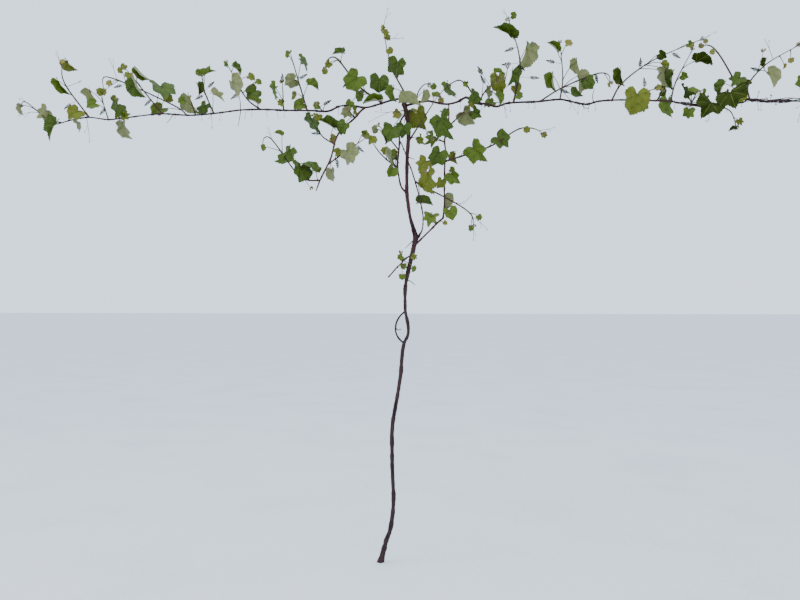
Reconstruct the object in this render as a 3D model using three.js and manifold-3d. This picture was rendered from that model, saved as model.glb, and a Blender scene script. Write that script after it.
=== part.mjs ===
// A young grapevine, trained to two long arms at head height.
//
// Millimetres, +Z up. The origin is the middle of the trunk's flat cut at ground level. The two arms run
// along X, the vine's head leans towards -Y, and +Y is the far side of the row.
//
// The wood is a set of tapering limbs. Each leafy shoot is one node: a stem that stands 0.3 mm clear of its
// limb, with leaf stalks, blades, tendrils and flower clusters fused to it.

import * as THREE from "three";
import Module from "manifold-3d";

const wasm = await Module();
wasm.setup();

// Driving dimensions

const GAP = 0.35; // clear space between a shoot or limb and the limb that carries it
const CLEARANCE = 1; // what the room tested round a new twig or blade adds to its thickness
const BLADE_SWELL = 1.04; // and to a blade's reach, as a factor
const SLIVER = 0.03; // edges shorter than this, left where twigs and blades join, are closed up
const ROW_Y = -100; // the arms' plane, a little in front of the foot
const EYE = new THREE.Vector3(480, -3265, 1048); // where the vine was looked at when its sizes were read

const FLARE_GIRTH = 10; // what the root flare adds to the trunk's width at the ground
const FLARE_HEIGHT = 34;
const FLARE_LOBES = 4;
const FLARE_WAVE = 0.35; // how far the lobes stand out of the flare, as a share of it

const STUB_GIRTHS = [3, 2]; // of the short twigs on the arms, at their foot and tip
const TRUNK_STUB_GIRTHS = [3.6, 2];
const STEM_TIP_GIRTH = 2.2;
const STEM_FOOT_SWELL = 1.15; // a shoot's foot is this much thicker than the stem above it
const SIDE_GIRTHS = [3.4, 2]; // of a side twig on a shoot, at its foot and tip
const FIRST_NODE = 6; // from a limb's bark to the first leaf on a shoot

const BLADE_THICK = 0.03; // a blade's thickness at its middle, as a share of its width
const BLADE_LEAST_THICK = 0.9;
const STALK_GIRTH = 2.0;
const ROOT_SUNK = 0.3; // how far past the stem's middle a stalk's root reaches
const TENDRIL_GIRTHS = [1.8, 1.2];
const TENDRIL_DEPTH = -8; // tendrils reach this far in front of the stem
const CLUSTER_LENGTH = 34;
const CLUSTER_GIRTH = 11;

// Half outlines of a blade: degrees from its tip, and reach from its middle. The other half mirrors them.
// Small blades have a plainer outline: each row starts with the least width that it is used for.
const OUTLINES = [
  [44, [[0, 1], [25, 0.76], [54, 0.96], [84, 0.74], [118, 0.9], [152, 0.7]]],
  [28, [[0, 1], [45, 0.84], [100, 0.84], [150, 0.62]]],
  [0, [[0, 1], [70, 0.84], [142, 0.68]]],
];
const FOLDS = [0.12, 0.4]; // how far a blade's halves rise from its midrib, per mm sideways
const DROOPS = [0.1, 0.35]; // how far its tip hangs, as a share of its reach
const RIM_SPREAD = [0.93, 1.07]; // how much the rim strays from its outline
const NOTCH_REACH = 0.25; // from a blade's middle back to the notch where its stalk joins
const REACH_PER_WIDTH = 0.62; // a blade's reach from middle to tip for each mm of its width

const STALK_REACH = [0.7, 0.95]; // a stalk's length, as a share of its blade's width
const NODE_BACK = 0.45; // a leaf's node lies this far back down the stem, as a share of the width
const LEAST_APART = 0.15; // how far a blade keeps off its stem's plane, as a share of the width
const SLIMMEST = 0.35; // the narrowest that a blade is turned to look, width to height
const STALK_PULL = 0.8; // a tip points along its stalk this much, and down by DROOP_PULL
const DROOP_PULL = 0.35;
const WEIGHT_PULL = 0.01; // more so for each mm of width

const UNDER = "under"; // marks a blade whose pale underside faces the front

// Colours of bark, canes, shoots and leaves

const BARK = 0x3e2c2c;
const RED_BARK = 0x5f3a30;
const CANE = 0x46312f;
const LEAF_GREENS = [0x57691f, 0x6a7a2c, 0x4c5f1e, 0x7d8448, 0x74803a];

const material = (color, roughness) => new THREE.MeshStandardMaterial({ color, roughness, metalness: 0 });

// A seeded generator, so that every build grows the same vine

function seeded(seed) {
  let state = seed >>> 0;
  return () => {
    state = (Math.imul(state, 1664525) + 1013904223) >>> 0;
    return state / 4294967296;
  };
}

const between = (random, low, high) => low + (high - low) * random();

// A place read on the arms' plane, moved along the line of sight until it stands `depth` behind the plane

function onSight([x, z], depth) {
  const share = (ROW_Y + depth - EYE.y) / (ROW_Y - EYE.y);
  return new THREE.Vector3(EYE.x + (x - EYE.x) * share, ROW_Y + depth, EYE.z + (z - EYE.z) * share);
}

// Closed meshes

function solid(vertices, triangles) {
  const geometry = new THREE.BufferGeometry();
  geometry.setAttribute("position", new THREE.Float32BufferAttribute(vertices, 3));
  geometry.setIndex(triangles);
  return new wasm.Manifold(
    new wasm.Mesh({
      numProp: 3,
      vertProperties: new Float32Array(geometry.attributes.position.array),
      triVerts: new Uint32Array(geometry.index.array),
    }),
  );
}

// A tapering tube on a smooth curve. girthAt(share, angle) is its width there, from 0 at its foot to 1.

function tube(points, girthAt, sides, rings) {
  const curve = new THREE.CatmullRomCurve3(points, false, "centripetal");
  const vertices = [];
  const triangles = [];
  let across = null;
  for (let ring = 0; ring <= rings; ring += 1) {
    const share = ring / rings;
    const centre = curve.getPoint(share);
    const along = curve.getTangent(share);
    if (across === null) {
      across = Math.abs(along.z) > 0.9 ? new THREE.Vector3(1, 0, 0) : new THREE.Vector3(0, 0, 1);
    }
    across = across.clone().addScaledVector(along, -across.dot(along)).normalize();
    const over = new THREE.Vector3().crossVectors(along, across);
    for (let side = 0; side < sides; side += 1) {
      const angle = (side / sides) * 2 * Math.PI;
      const radius = girthAt(share, angle) / 2;
      const rim = centre.clone().addScaledVector(across, radius * Math.cos(angle));
      rim.addScaledVector(over, radius * Math.sin(angle));
      vertices.push(rim.x, rim.y, rim.z);
    }
  }
  const at = (ring, side) => ring * sides + (side % sides);
  for (let ring = 0; ring < rings; ring += 1) {
    for (let side = 0; side < sides; side += 1) {
      const corners = [at(ring, side), at(ring, side + 1), at(ring + 1, side + 1), at(ring + 1, side)];
      triangles.push(corners[0], corners[1], corners[2], corners[0], corners[2], corners[3]);
    }
  }
  for (let side = 1; side < sides - 1; side += 1) {
    triangles.push(at(0, 0), at(0, side + 1), at(0, side));
    triangles.push(at(rings, 0), at(rings, side), at(rings, side + 1));
  }
  return solid(vertices, triangles);
}

const taper = (from, to) => (share) => from + (to - from) * share;

// What stands in the space already, so that the next twig or blade can keep clear of it

const standing = [];

function boxesMeet(a, b) {
  return [0, 1, 2].every((i) => a.min[i] <= b.max[i] && b.min[i] <= a.max[i]);
}

function isClear(body, ownNode) {
  const box = body.boundingBox();
  return standing.every(
    (other) => other.node === ownNode || !boxesMeet(box, other.box) || other.body.intersect(body).isEmpty(),
  );
}

function stand(node, body) {
  standing.push({ node, body, box: body.boundingBox() });
}

// The limbs. A station is [x, y, z, girth]; the girth runs evenly from one station to the next.

const limbs = {};

function limbBody({ stations, sides, rings, flare }, extra) {
  const points = stations.map(([x, y, z]) => new THREE.Vector3(x, y, z));
  const girthAt = (share, angle) => {
    const place = share * (stations.length - 1);
    const first = Math.min(Math.floor(place), stations.length - 2);
    const [here, next] = [stations[first], stations[first + 1]];
    const girth = here[3] + (next[3] - here[3]) * (place - first);
    const height = here[2] + (next[2] - here[2]) * (place - first);
    const spread = flare ? Math.exp(-Math.max(height, 0) / FLARE_HEIGHT) : 0;
    return girth + extra + FLARE_GIRTH * spread * (1 + FLARE_WAVE * Math.cos(FLARE_LOBES * angle));
  };
  return tube(points, girthAt, sides, rings);
}

function limb(name, parents, shape) {
  let body = limbBody(shape, 0);
  (shape.twigs ?? []).forEach((rows) => {
    body = body.add(twig(rows, ...STUB_GIRTHS));
  });
  parents.forEach((parent) => {
    body = body.subtract(limbs[parent].room);
  });
  body = largestPart(body);
  const { stations } = shape;
  limbs[name] = { body, room: limbBody(shape, 2 * GAP), girth: stations[0][3], stations };
  stand(name, body);
}

function largestPart(body) {
  return body.decompose().sort((a, b) => b.volume() - a.volume())[0];
}

function twig(rows, from, to) {
  const points = rows.map(([x, y, z]) => new THREE.Vector3(x, y, z));
  return tube(points, taper(from, to), 3, rows.length);
}

const inRow = (rows) => rows.map(([x, z, girth]) => [x, ROW_Y, z, girth]);

const seen = (rows) =>
  rows.map(([x, y, z, girth]) => {
    const place = onSight([x, z], y - ROW_Y);
    return [place.x, place.y, place.z, girth];
  });

// The trunk leans out of the ground towards the front, stands up along the row's plane, and carries an eye
// where a thin second strand parts from the thick one and joins it again.

const EYE_STRAND = [
  [106, -93, 880], [85, -96, 901], [75, -98, 922], [74, -98, 945], [80, -97, 968], [96, -94, 992],
  [110, -92, 1004],
];
const KNEE_KNOB = [[150, -98, 1288], [163, -98, 1292], [168, -98, 1300]];
const TRUNK_TWIGS = [
  [[74, -98, 938], [86, -97, 932], [97, -98, 936]],
  [[117, -92, 1128], [135, -96, 1118], [151, -98, 1104]],
  [[150, -98, 1286], [128, -108, 1262], [112, -114, 1246]],
  [[120, -93, 1603], [134, -97, 1596], [148, -101, 1590]],
];

const trunkShape = {
  stations: [
    [-6, 8, -40, 15], [0, 0, 0, 17], [12, -15, 41, 17], [30, -40, 101, 17], [47, -60, 146, 16],
    [60, -85, 212, 16], [66, -98, 282, 15], [62, -100, 371, 15], [60, -100, 467, 15], [61, -100, 545, 15],
    [67, -98, 603, 15], [80, -89, 679, 14], [93, -84, 768, 14], [99, -87, 846, 13], [107, -93, 883, 13],
    [121, -99, 911, 11], [124, -102, 940, 11], [119, -99, 971, 12], [112, -93, 1002, 13],
    [110, -90, 1060, 12], [111, -90, 1100, 14], [117, -92, 1133, 15], [125, -94, 1172, 16],
    [138, -96, 1222, 16], [147, -98, 1264, 17], [152, -98, 1290, 19], [143, -97, 1322, 15],
    [131, -96, 1365, 12], [123, -94, 1412, 11], [117, -92, 1462, 14], [117, -92, 1532, 13],
    [119, -94, 1609, 14], [124, -96, 1674, 14], [123, -98, 1724, 14], [116, -100, 1770, 17],
    [107, -100, 1808, 18],
  ],
  sides: 7,
  rings: 38,
  flare: true,
};

function trunk(extra) {
  let body = limbBody(trunkShape, extra);
  const add = (rows, from, to, sides, rings) => {
    const points = rows.map(([x, y, z]) => new THREE.Vector3(x, y, z));
    body = body.add(tube(points, taper(from + extra, to + extra), sides, rings));
  };
  add(EYE_STRAND, 5.5, 5.5, 5, 9);
  add(KNEE_KNOB, 12, 8, 5, 2);
  TRUNK_TWIGS.forEach((rows) => add(rows, ...TRUNK_STUB_GIRTHS, 3, rows.length));
  return body.trimByPlane([0, 0, 1], 0);
}

limbs.trunk = { body: trunk(0), room: trunk(2 * GAP), girth: 14, stations: trunkShape.stations };
stand("trunk", limbs.trunk.body);

limb("left_arm", ["trunk"], {
  stations: inRow([
    [110, 1803, 10], [88, 1824, 9], [55, 1820, 8.5], [5, 1806, 8], [-40, 1796, 8], [-95, 1803, 7.5],
    [-145, 1804, 7], [-190, 1786, 8], [-260, 1790, 7], [-365, 1794, 7], [-455, 1800, 7], [-545, 1800, 6.5],
    [-650, 1790, 6.5], [-750, 1785, 6.5], [-875, 1794, 6], [-1005, 1784, 6], [-1095, 1777, 5.5],
    [-1180, 1788, 5.5], [-1250, 1780, 5], [-1315, 1764, 4.5],
  ]),
  sides: 5,
  rings: 26,
  twigs: [
    [[-545, -100, 1800], [-545, -104, 1832], [-551, -106, 1862]],
    [[-543, -100, 1800], [-550, -97, 1768], [-558, -92, 1736]],
    [[-822, -100, 1790], [-835, -97, 1775], [-852, -95, 1757]],
    [[-212, -100, 1787], [-208, -103, 1800], [-196, -106, 1817]],
  ],
});

limb("right_arm", ["trunk"], {
  stations: inRow([
    [112, 1798, 10], [160, 1809, 9], [200, 1814, 9], [236, 1806, 8.5], [275, 1800, 8], [315, 1808, 8.5],
    [347, 1823, 9.5], [380, 1801, 9.5], [425, 1796, 8.5], [462, 1785, 8.5], [500, 1796, 8], [552, 1799, 7.5],
    [612, 1799, 7.5], [702, 1805, 7.5], [746, 1795, 7], [798, 1784, 7], [842, 1794, 7], [904, 1797, 6.5],
    [1014, 1792, 6.5], [1104, 1786, 6.5], [1176, 1771, 6.5], [1230, 1762, 6.5], [1284, 1766, 6.5],
    [1336, 1777, 7.5], [1376, 1787, 7], [1424, 1779, 6], [1494, 1776, 6], [1563, 1774, 5.5], [1605, 1776, 5],
  ]),
  sides: 5,
  rings: 32,
  twigs: [
    [[824, -100, 1790], [820, -104, 1812], [826, -106, 1842]],
    [[782, -100, 1787], [790, -97, 1772], [806, -97, 1768]],
    [[1375, -100, 1786], [1366, -96, 1798], [1356, -92, 1812]],
  ],
});

limb("hanging_cane", ["left_arm"], {
  stations: seen([
    [-46, -100, 1796, 8.5], [-66, -103, 1779, 8.5], [-86, -106, 1756, 8], [-131, -112, 1719, 7.5],
    [-151, -116, 1696, 8], [-164, -119, 1665, 7], [-180, -124, 1604, 6.5], [-191, -126, 1580, 7],
    [-221, -131, 1522, 6.5], [-240, -134, 1475, 4.5],
  ]),
  sides: 5,
  rings: 16,
});

limb("second_cane", ["trunk"], {
  stations: seen([
    [116, -95, 1462, 9], [97, -97, 1484, 8], [86, -100, 1530, 7], [81, -102, 1566, 8], [85, -102, 1610, 7],
    [89, -102, 1650, 6.5], [89, -102, 1705, 6.5], [95, -101, 1742, 7], [113, -100, 1768, 7],
  ]),
  sides: 5,
  rings: 14,
});

limb("thin_cane", ["trunk", "second_cane"], {
  stations: seen([
    [166, -98, 1298, 7], [175, -97, 1312, 5.5], [180, -94, 1335, 5], [180, -88, 1376, 5],
    [166, -80, 1446, 5], [147, -77, 1515, 6], [136, -76, 1550, 5], [123, -76, 1582, 5],
    [110, -80, 1620, 4.5], [100, -90, 1645, 4.5], [92, -100, 1662, 4],
  ]),
  sides: 4,
  rings: 18,
});

limb("renewal_cane_low", ["trunk"], {
  stations: inRow([[143, 1249, 8], [160, 1269, 7.5], [209, 1317, 7], [236, 1344, 7.5], [259, 1363, 8]]),
  sides: 5,
  rings: 8,
});

limb("renewal_cane_up", ["renewal_cane_low", "right_arm"], {
  stations: seen([
    [258, -100, 1362, 7], [263, -97, 1413, 6], [263, -95, 1470, 6], [264, -94, 1547, 6.5],
    [267, -94, 1624, 6], [264, -95, 1659, 7.5], [271, -96, 1701, 6], [279, -98, 1731, 5.5],
    [280, -100, 1800, 5],
  ]),
  sides: 5,
  rings: 15,
});

limb("cut_cane", ["trunk"], {
  stations: seen([
    [138, -97, 1222, 6.5], [118, -106, 1211, 6], [93, -114, 1187, 5.5], [74, -118, 1168, 5.5],
    [52, -121, 1143, 6], [45, -122, 1136, 8],
  ]),
  sides: 5,
  rings: 7,
});

// A leaf is one closed mesh: a thin lobed lens, folded along its midrib and drooping at its tip, whose notch
// runs into a three-sided stalk. `up` is the way its upper face looks, `ahead` the way its tip points, and
// `swell` makes it a little larger, to test the room round it.

function leafBody(random, node, middle, width, { up, ahead }, swell) {
  const half = OUTLINES.find(([least]) => width >= least)[1];
  const mirrored = half.slice(1).reverse().map(([degrees, reach]) => [-degrees, reach]);
  const reachUnit = width * REACH_PER_WIDTH * (swell ? BLADE_SWELL : 1);
  const fold = between(random, ...FOLDS);
  const droop = between(random, ...DROOPS);
  const side = new THREE.Vector3().crossVectors(ahead, up);
  const thick = Math.max(width * BLADE_THICK, BLADE_LEAST_THICK) + (swell ? CLEARANCE : 0);
  const stalk = (STALK_GIRTH + (swell ? CLEARANCE : 0)) / 2;
  const vertices = [];
  const put = (origin, forward, sideways, rise) => {
    const point = origin.clone().addScaledVector(ahead, forward).addScaledVector(side, sideways);
    point.addScaledVector(up, rise);
    return vertices.push(point.x, point.y, point.z) / 3 - 1;
  };
  const rim = [...half, ...mirrored].map(([degrees, reach]) => {
    const angle = (degrees * Math.PI) / 180;
    const length = reach * reachUnit * between(random, ...RIM_SPREAD);
    const forward = length * Math.cos(angle);
    const sideways = length * Math.sin(angle);
    const sag = droop * Math.max(forward, 0) * (forward / reachUnit);
    return put(middle, forward, sideways, fold * Math.abs(sideways) - sag);
  });
  const notch = middle.clone().addScaledVector(ahead, -NOTCH_REACH * reachUnit);
  const stalkWay = notch.clone().sub(node).normalize();
  const ring = (centre, way) => {
    const across = side.clone().addScaledVector(way, -side.dot(way)).normalize();
    const over = new THREE.Vector3().crossVectors(across, way);
    return [[0, stalk], [stalk, -stalk], [-stalk, -stalk]].map(([sideways, rise]) => {
      const point = centre.clone().addScaledVector(across, sideways).addScaledVector(over, rise);
      return vertices.push(point.x, point.y, point.z) / 3 - 1;
    });
  };
  const mouth = ring(notch, stalkWay.clone().add(ahead).normalize());
  const root = ring(node.clone().addScaledVector(stalkWay, -ROOT_SUNK), stalkWay);
  const top = put(middle, 0, 0, thick / 2);
  const bottom = put(middle, 0, 0, -thick / 2);
  const overMouth = [...rim.slice(0, half.length), mouth[1], mouth[0], mouth[2], ...rim.slice(half.length)];
  const underMouth = overMouth.filter((corner) => corner !== mouth[0]);
  const triangles = [];
  overMouth.forEach((corner, i) => triangles.push(top, overMouth[(i + 1) % overMouth.length], corner));
  underMouth.forEach((corner, i) => triangles.push(bottom, corner, underMouth[(i + 1) % underMouth.length]));
  [0, 1, 2].forEach((i) => {
    const next = (i + 1) % 3;
    triangles.push(mouth[next], mouth[i], root[i], mouth[next], root[i], root[next]);
  });
  triangles.push(root[2], root[1], root[0]);
  const body = solid(vertices, triangles);
  return body.volume() > 0 ? body : solid(vertices, triangles.toReversed());
}

// How a blade hangs: turned from the line of sight until a round blade shows the width and height given

function bladeFrame(random, middle, node, [, , width, height, face]) {
  const sight = middle.clone().sub(EYE).normalize();
  const up = face === UNDER ? sight.clone() : sight.clone().negate();
  const right = new THREE.Vector3().crossVectors(sight, new THREE.Vector3(0, 0, 1)).normalize();
  const share = Math.max(Math.min(width, height) / Math.max(width, height), SLIMMEST);
  const turn = Math.acos(share) + between(random, 0, 0.2);
  if (height >= width) {
    up.applyAxisAngle(new THREE.Vector3(0, 0, 1), random() < 0.5 ? turn : -turn);
  } else {
    up.applyAxisAngle(right, face === UNDER ? turn : -turn);
  }
  const ahead = middle.clone().sub(node).normalize().multiplyScalar(STALK_PULL);
  ahead.z -= DROOP_PULL + WEIGHT_PULL * Math.max(width, height);
  ahead.addScaledVector(up, -ahead.dot(up)).normalize();
  return { up, ahead };
}

// A shoot's depth at a share of its length: it leaves the row's plane and leans towards its side

const depthAt = (lean, share) => lean * Math.sin((share * Math.PI) / 2);

function shootCurve(places, lean, foot) {
  const points = places.map((place, i) => onSight(place, foot + depthAt(lean, i / (places.length - 1))));
  return new THREE.CatmullRomCurve3(points, false, "centripetal");
}

const LEANS_TO_TRY = [0, 14, -14, 28, -28, 42, -42, 60, -60];
const DEPTHS_TO_TRY = [0, -10, 10, -20, 20, -32, 32, -45, 45, -60, 60];

const foliage = [];
let nextSeed = 11;

function shoot(name, { on, girth, lean, stem, leaves, sides = [], tendrils = [], clusters = [] }) {
  const random = seeded((nextSeed += 37));
  const foot = footDepth(on, stem[0]);
  const parts = [];
  const keep = (body) => {
    stand(name, body);
    parts.push(body);
  };
  const rings = Math.max(4, stem.length + 1);
  let curve = null;
  for (const change of LEANS_TO_TRY) {
    curve = shootCurve(stem, lean + change, foot);
    const wide = tube(curve.points, taper(girth + CLEARANCE, STEM_TIP_GIRTH + CLEARANCE), 3, rings);
    if (isClear(wide.subtract(limbs[on].room), name)) break;
  }
  keep(tube(curve.points, taper(girth * STEM_FOOT_SWELL, STEM_TIP_GIRTH), 3, rings));

  const length = curve.getLength();
  const firstNode = (limbs[on].girth / 2 + FIRST_NODE) / length;
  const onStem = (share) => {
    const ring = Math.min(Math.floor(share * rings), rings - 1);
    return curve.getPoint(ring / rings).lerp(curve.getPoint((ring + 1) / rings), share * rings - ring);
  };
  const nearest = (point) => {
    const shares = Array.from({ length: 41 }, (_, step) => firstNode + ((1 - firstNode) * step) / 40);
    return shares.reduce((best, share) =>
      onStem(share).distanceTo(point) < onStem(best).distanceTo(point) ? share : best,
    );
  };

  sides.forEach((places) => {
    const start = nearest(onSight(places[0], foot + lean / 2));
    const from = onStem(start);
    const points = [from, ...places.slice(1).map((place) => onSight(place, from.y - ROW_Y))];
    keep(tube(points, taper(...SIDE_GIRTHS), 3, 2 * (points.length - 1)));
  });

  leaves.forEach((leaf, index) => {
    const [x, z, width, height] = leaf;
    const size = Math.max(width, height);
    const flat = onSight([x, z], foot);
    const near = nearest(flat);
    const share = Math.max(firstNode, near - (NODE_BACK * size) / length);
    const node = onStem(share);
    const side = (index % 2 === 0 ? 1 : -1) * Math.sign(lean || 1);
    const apart = onSight([x, z], node.y - ROW_Y).distanceTo(node);
    const stalkReach = size * between(random, ...STALK_REACH);
    const aside = Math.sqrt(Math.max(stalkReach ** 2 - apart ** 2, (LEAST_APART * size) ** 2));
    const own = node.y - ROW_Y + side * aside;
    const bladeSeed = Math.floor(random() * 1e6);
    for (const change of DEPTHS_TO_TRY) {
      const middle = onSight([x, z], own + change);
      const frame = bladeFrame(seeded(bladeSeed), middle, node, leaf);
      const grow = (swell) => leafBody(seeded(bladeSeed + 1), node, middle, size, frame, swell);
      if (isClear(grow(true), name)) {
        keep(grow(false));
        break;
      }
    }
  });

  clusters.forEach((place) => {
    const near = nearest(onSight(place, foot + lean / 2));
    const node = onStem(near);
    const middle = onSight(place, node.y - ROW_Y);
    const reach = middle.clone().sub(node);
    const way = reach.lengthSq() > 1 ? reach.normalize() : new THREE.Vector3(0, 0, 1);
    const tip = middle.clone().addScaledVector(way, CLUSTER_LENGTH / 2);
    const neck = middle.clone().addScaledVector(way, -CLUSTER_LENGTH / 2);
    const girthAt = (share) => (share > 0.5 && share < 0.9 ? CLUSTER_GIRTH : STALK_GIRTH);
    const body = tube([node, neck, middle, tip], girthAt, 3, 3);
    if (isClear(body, name)) keep(body);
  });

  tendrils.forEach((places) => {
    const near = nearest(onSight(places[0], foot + lean / 2));
    const from = onStem(near);
    const reach = places.slice(1).map((place) => onSight(place, from.y - ROW_Y + TENDRIL_DEPTH));
    const body = tube([from, ...reach], taper(...TENDRIL_GIRTHS), 3, 2);
    if (isClear(body, name)) keep(body);
  });

  let body = parts.reduce((whole, part) => whole.add(part));
  body = largestPart(body.subtract(limbs[on].room));
  foliage.push({ name, body, on, tint: LEAF_GREENS[Math.floor(random() * LEAF_GREENS.length)] });
}

// How far behind the row's plane a limb's middle runs where a shoot leaves it

function footDepth(on, [x, z]) {
  const { stations } = limbs[on];
  const nearestStation = stations.reduce((best, station) =>
    Math.hypot(station[0] - x, station[2] - z) < Math.hypot(best[0] - x, best[2] - z) ? station : best,
  );
  return nearestStation[1] - ROW_Y;
}

// The shoots. Every place is [x, z] in mm, read on the row's plane. `stem` starts inside the limb and ends
// at the growing tip, and `lean` is how far the tip stands behind the plane. A leaf is its middle's place,
// then the width and height that its blade shows.

shoot("shoot_left_01", { on: "left_arm", girth: 3.5, lean: 40,
  stem: [[-1300, 1770], [-1355, 1785], [-1460, 1860], [-1475, 1845]],
  leaves: [[-1370, 1815, 50, 60, UNDER], [-1330, 1755, 50, 60], [-1475, 1835, 20, 40, UNDER]],
  tendrils: [[[-1430, 1840], [-1475, 1870]], [[-1395, 1810], [-1475, 1805]]],
});
shoot("shoot_left_02", { on: "left_arm", girth: 4, lean: -70,
  stem: [[-1180, 1790], [-1290, 1945], [-1295, 2015]],
  leaves: [[-1235, 1810, 60, 50], [-1230, 1765, 40, 40, UNDER], [-1300, 1925, 45, 60], [-1265, 2010,
    45, 40], [-1295, 2020, 20, 15]],
  tendrils: [[[-1300, 1995], [-1315, 2055]], [[-1270, 1915], [-1215, 1935]], [[-1190, 1800], [-1175,
    1690]]],
  clusters: [[-1270, 1835]],
});
shoot("shoot_left_03", { on: "left_arm", girth: 3.5, lean: 55,
  stem: [[-1095, 1775], [-1130, 1880]],
  leaves: [[-1170, 1885, 45, 60], [-1160, 1840, 45, 35], [-1130, 1890, 30, 30]],
  clusters: [[-1120, 1810]],
});
shoot("shoot_left_04", { on: "left_arm", girth: 3.5, lean: -45,
  stem: [[-1050, 1780], [-1060, 1860]],
  leaves: [[-1055, 1825, 55, 55], [-1080, 1855, 40, 45], [-1030, 1795, 40, 40], [-1030, 1745, 40, 70,
    UNDER]],
});
shoot("shoot_left_05", { on: "left_arm", girth: 4, lean: 90,
  stem: [[-765, 1785], [-800, 1815], [-1105, 1950], [-1120, 1940], [-1115, 1895]],
  leaves: [[-880, 1810, 60, 40], [-1045, 1975, 25, 25], [-1090, 1925, 25, 20], [-1115, 1890, 20, 25]],
  tendrils: [[[-1080, 1940], [-1090, 2020]]],
  clusters: [[-930, 1840], [-1055, 1910]],
});
shoot("shoot_left_06", { on: "left_arm", girth: 4, lean: -60,
  stem: [[-870, 1795], [-1030, 1990]],
  leaves: [[-870, 1895, 90, 60], [-845, 1855, 35, 30], [-975, 1915, 40, 60], [-960, 1965, 50, 40],
    [-1010, 1955, 30, 25], [-1030, 1990, 25, 25]],
});
shoot("shoot_left_07", { on: "left_arm", girth: 3.5, lean: -50,
  stem: [[-730, 1785], [-755, 1860]],
  leaves: [[-785, 1845, 30, 30], [-750, 1840, 40, 65, UNDER], [-695, 1815, 35, 40]],
});
shoot("shoot_left_08", { on: "left_arm", girth: 4, lean: 70,
  stem: [[-655, 1790], [-695, 1890], [-700, 1945]],
  leaves: [[-680, 1950, 50, 40], [-715, 1955, 30, 30], [-720, 1895, 25, 40], [-645, 1860, 50, 25,
    UNDER]],
  tendrils: [[[-665, 1810], [-660, 1735]]],
  clusters: [[-665, 1905], [-715, 1855]],
});
shoot("shoot_left_09", { on: "left_arm", girth: 4.5, lean: -90,
  stem: [[-465, 1800], [-520, 1845], [-605, 1995]],
  leaves: [[-485, 1830, 25, 40], [-490, 1870, 60, 55], [-570, 1900, 55, 80, UNDER], [-505, 1930, 30,
    25], [-475, 1910, 25, 20], [-565, 1965, 40, 30], [-600, 1985, 25, 25]],
  clusters: [[-570, 1855]],
});
shoot("shoot_left_11", { on: "left_arm", girth: 4.5, lean: 80,
  stem: [[-275, 1790], [-345, 2025]],
  leaves: [[-300, 1815, 50, 40], [-335, 1855, 35, 35], [-260, 1890, 50, 40], [-335, 1910, 55, 50,
    UNDER], [-290, 1980, 30, 50], [-355, 2015, 20, 25]],
  clusters: [[-290, 1925]],
});
shoot("shoot_left_12", { on: "left_arm", girth: 3.5, lean: -60,
  stem: [[-370, 1795], [-375, 1910]],
  leaves: [[-380, 1825, 30, 30], [-405, 1875, 25, 55]],
  clusters: [[-375, 1920]],
});
shoot("shoot_left_13", { on: "left_arm", girth: 3, lean: -50,
  stem: [[-215, 1785], [-235, 1820]],
  leaves: [[-235, 1810, 30, 30], [-230, 1765, 30, 30]],
  clusters: [[-195, 1820]],
});
shoot("shoot_left_14", { on: "left_arm", girth: 5, lean: -110,
  stem: [[25, 1810], [-65, 1875], [-165, 1995], [-195, 1985], [-205, 1950]],
  leaves: [[-5, 1820, 65, 25], [-70, 1850, 25, 45], [-105, 1815, 30, 30], [10, 1895, 70, 65], [-85,
    1905, 80, 80], [-145, 2010, 45, 25], [-190, 1970, 25, 30], [-205, 1945, 20, 25]],
  clusters: [[-120, 1890]],
});
shoot("shoot_hanging_1", { on: "hanging_cane", girth: 3.5, lean: -40,
  stem: [[-85, 1755], [-115, 1795]],
  leaves: [[-115, 1780, 45, 40, UNDER], [-85, 1785, 30, 30], [-130, 1725, 45, 45]],
});
shoot("shoot_hanging_2", { on: "hanging_cane", girth: 4, lean: 60,
  stem: [[-165, 1655], [-220, 1695], [-250, 1775]],
  leaves: [[-175, 1680, 25, 30], [-185, 1730, 50, 40], [-255, 1745, 40, 65]],
  clusters: [[-240, 1700]],
});
shoot("shoot_hanging_3", { on: "hanging_cane", girth: 4, lean: -70,
  stem: [[-190, 1580], [-40, 1680]],
  leaves: [[-155, 1625, 30, 30], [-180, 1545, 30, 35, UNDER], [-110, 1620, 70, 80, UNDER], [-50, 1695,
    25, 25]],
  clusters: [[-155, 1580], [-65, 1635]],
});
shoot("shoot_hanging_4", { on: "hanging_cane", girth: 4.5, lean: 80,
  stem: [[-225, 1515], [-280, 1520], [-320, 1550], [-430, 1690], [-450, 1685], [-455, 1655]],
  leaves: [[-255, 1565, 50, 40], [-300, 1560, 55, 65], [-355, 1625, 55, 70], [-385, 1700, 30, 30],
    [-450, 1650, 20, 25]],
  sides: [[[-280, 1520], [-260, 1485]]],
  tendrils: [[[-415, 1680], [-430, 1725]]],
});
shoot("shoot_head_tall", { on: "trunk", girth: 5.5, lean: -60,
  stem: [[110, 1795], [115, 1830], [60, 1945], [25, 2095]],
  leaves: [[65, 1855, 50, 60], [80, 1955, 70, 80], [50, 2015, 25, 25], [40, 2065, 25, 20], [35, 2085,
    25, 25], [25, 2105, 20, 20]],
  tendrils: [[[25, 2080], [45, 2175]], [[30, 2055], [100, 2060]]],
});
shoot("shoot_head_low", { on: "trunk", girth: 5, lean: -60,
  stem: [[110, 1780], [155, 1775]],
  leaves: [[120, 1810, 80, 55, UNDER], [165, 1760, 60, 85], [80, 1770, 30, 35], [60, 1705, 70, 60],
    [105, 1710, 60, 60]],
  tendrils: [[[135, 1775], [-30, 1740]]],
});
shoot("shoot_second_2", { on: "second_cane", girth: 4, lean: 60,
  stem: [[85, 1630], [5, 1730]],
  leaves: [[25, 1685, 25, 30], [-5, 1710, 25, 30, UNDER]],
  clusters: [[45, 1665]],
});
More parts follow.
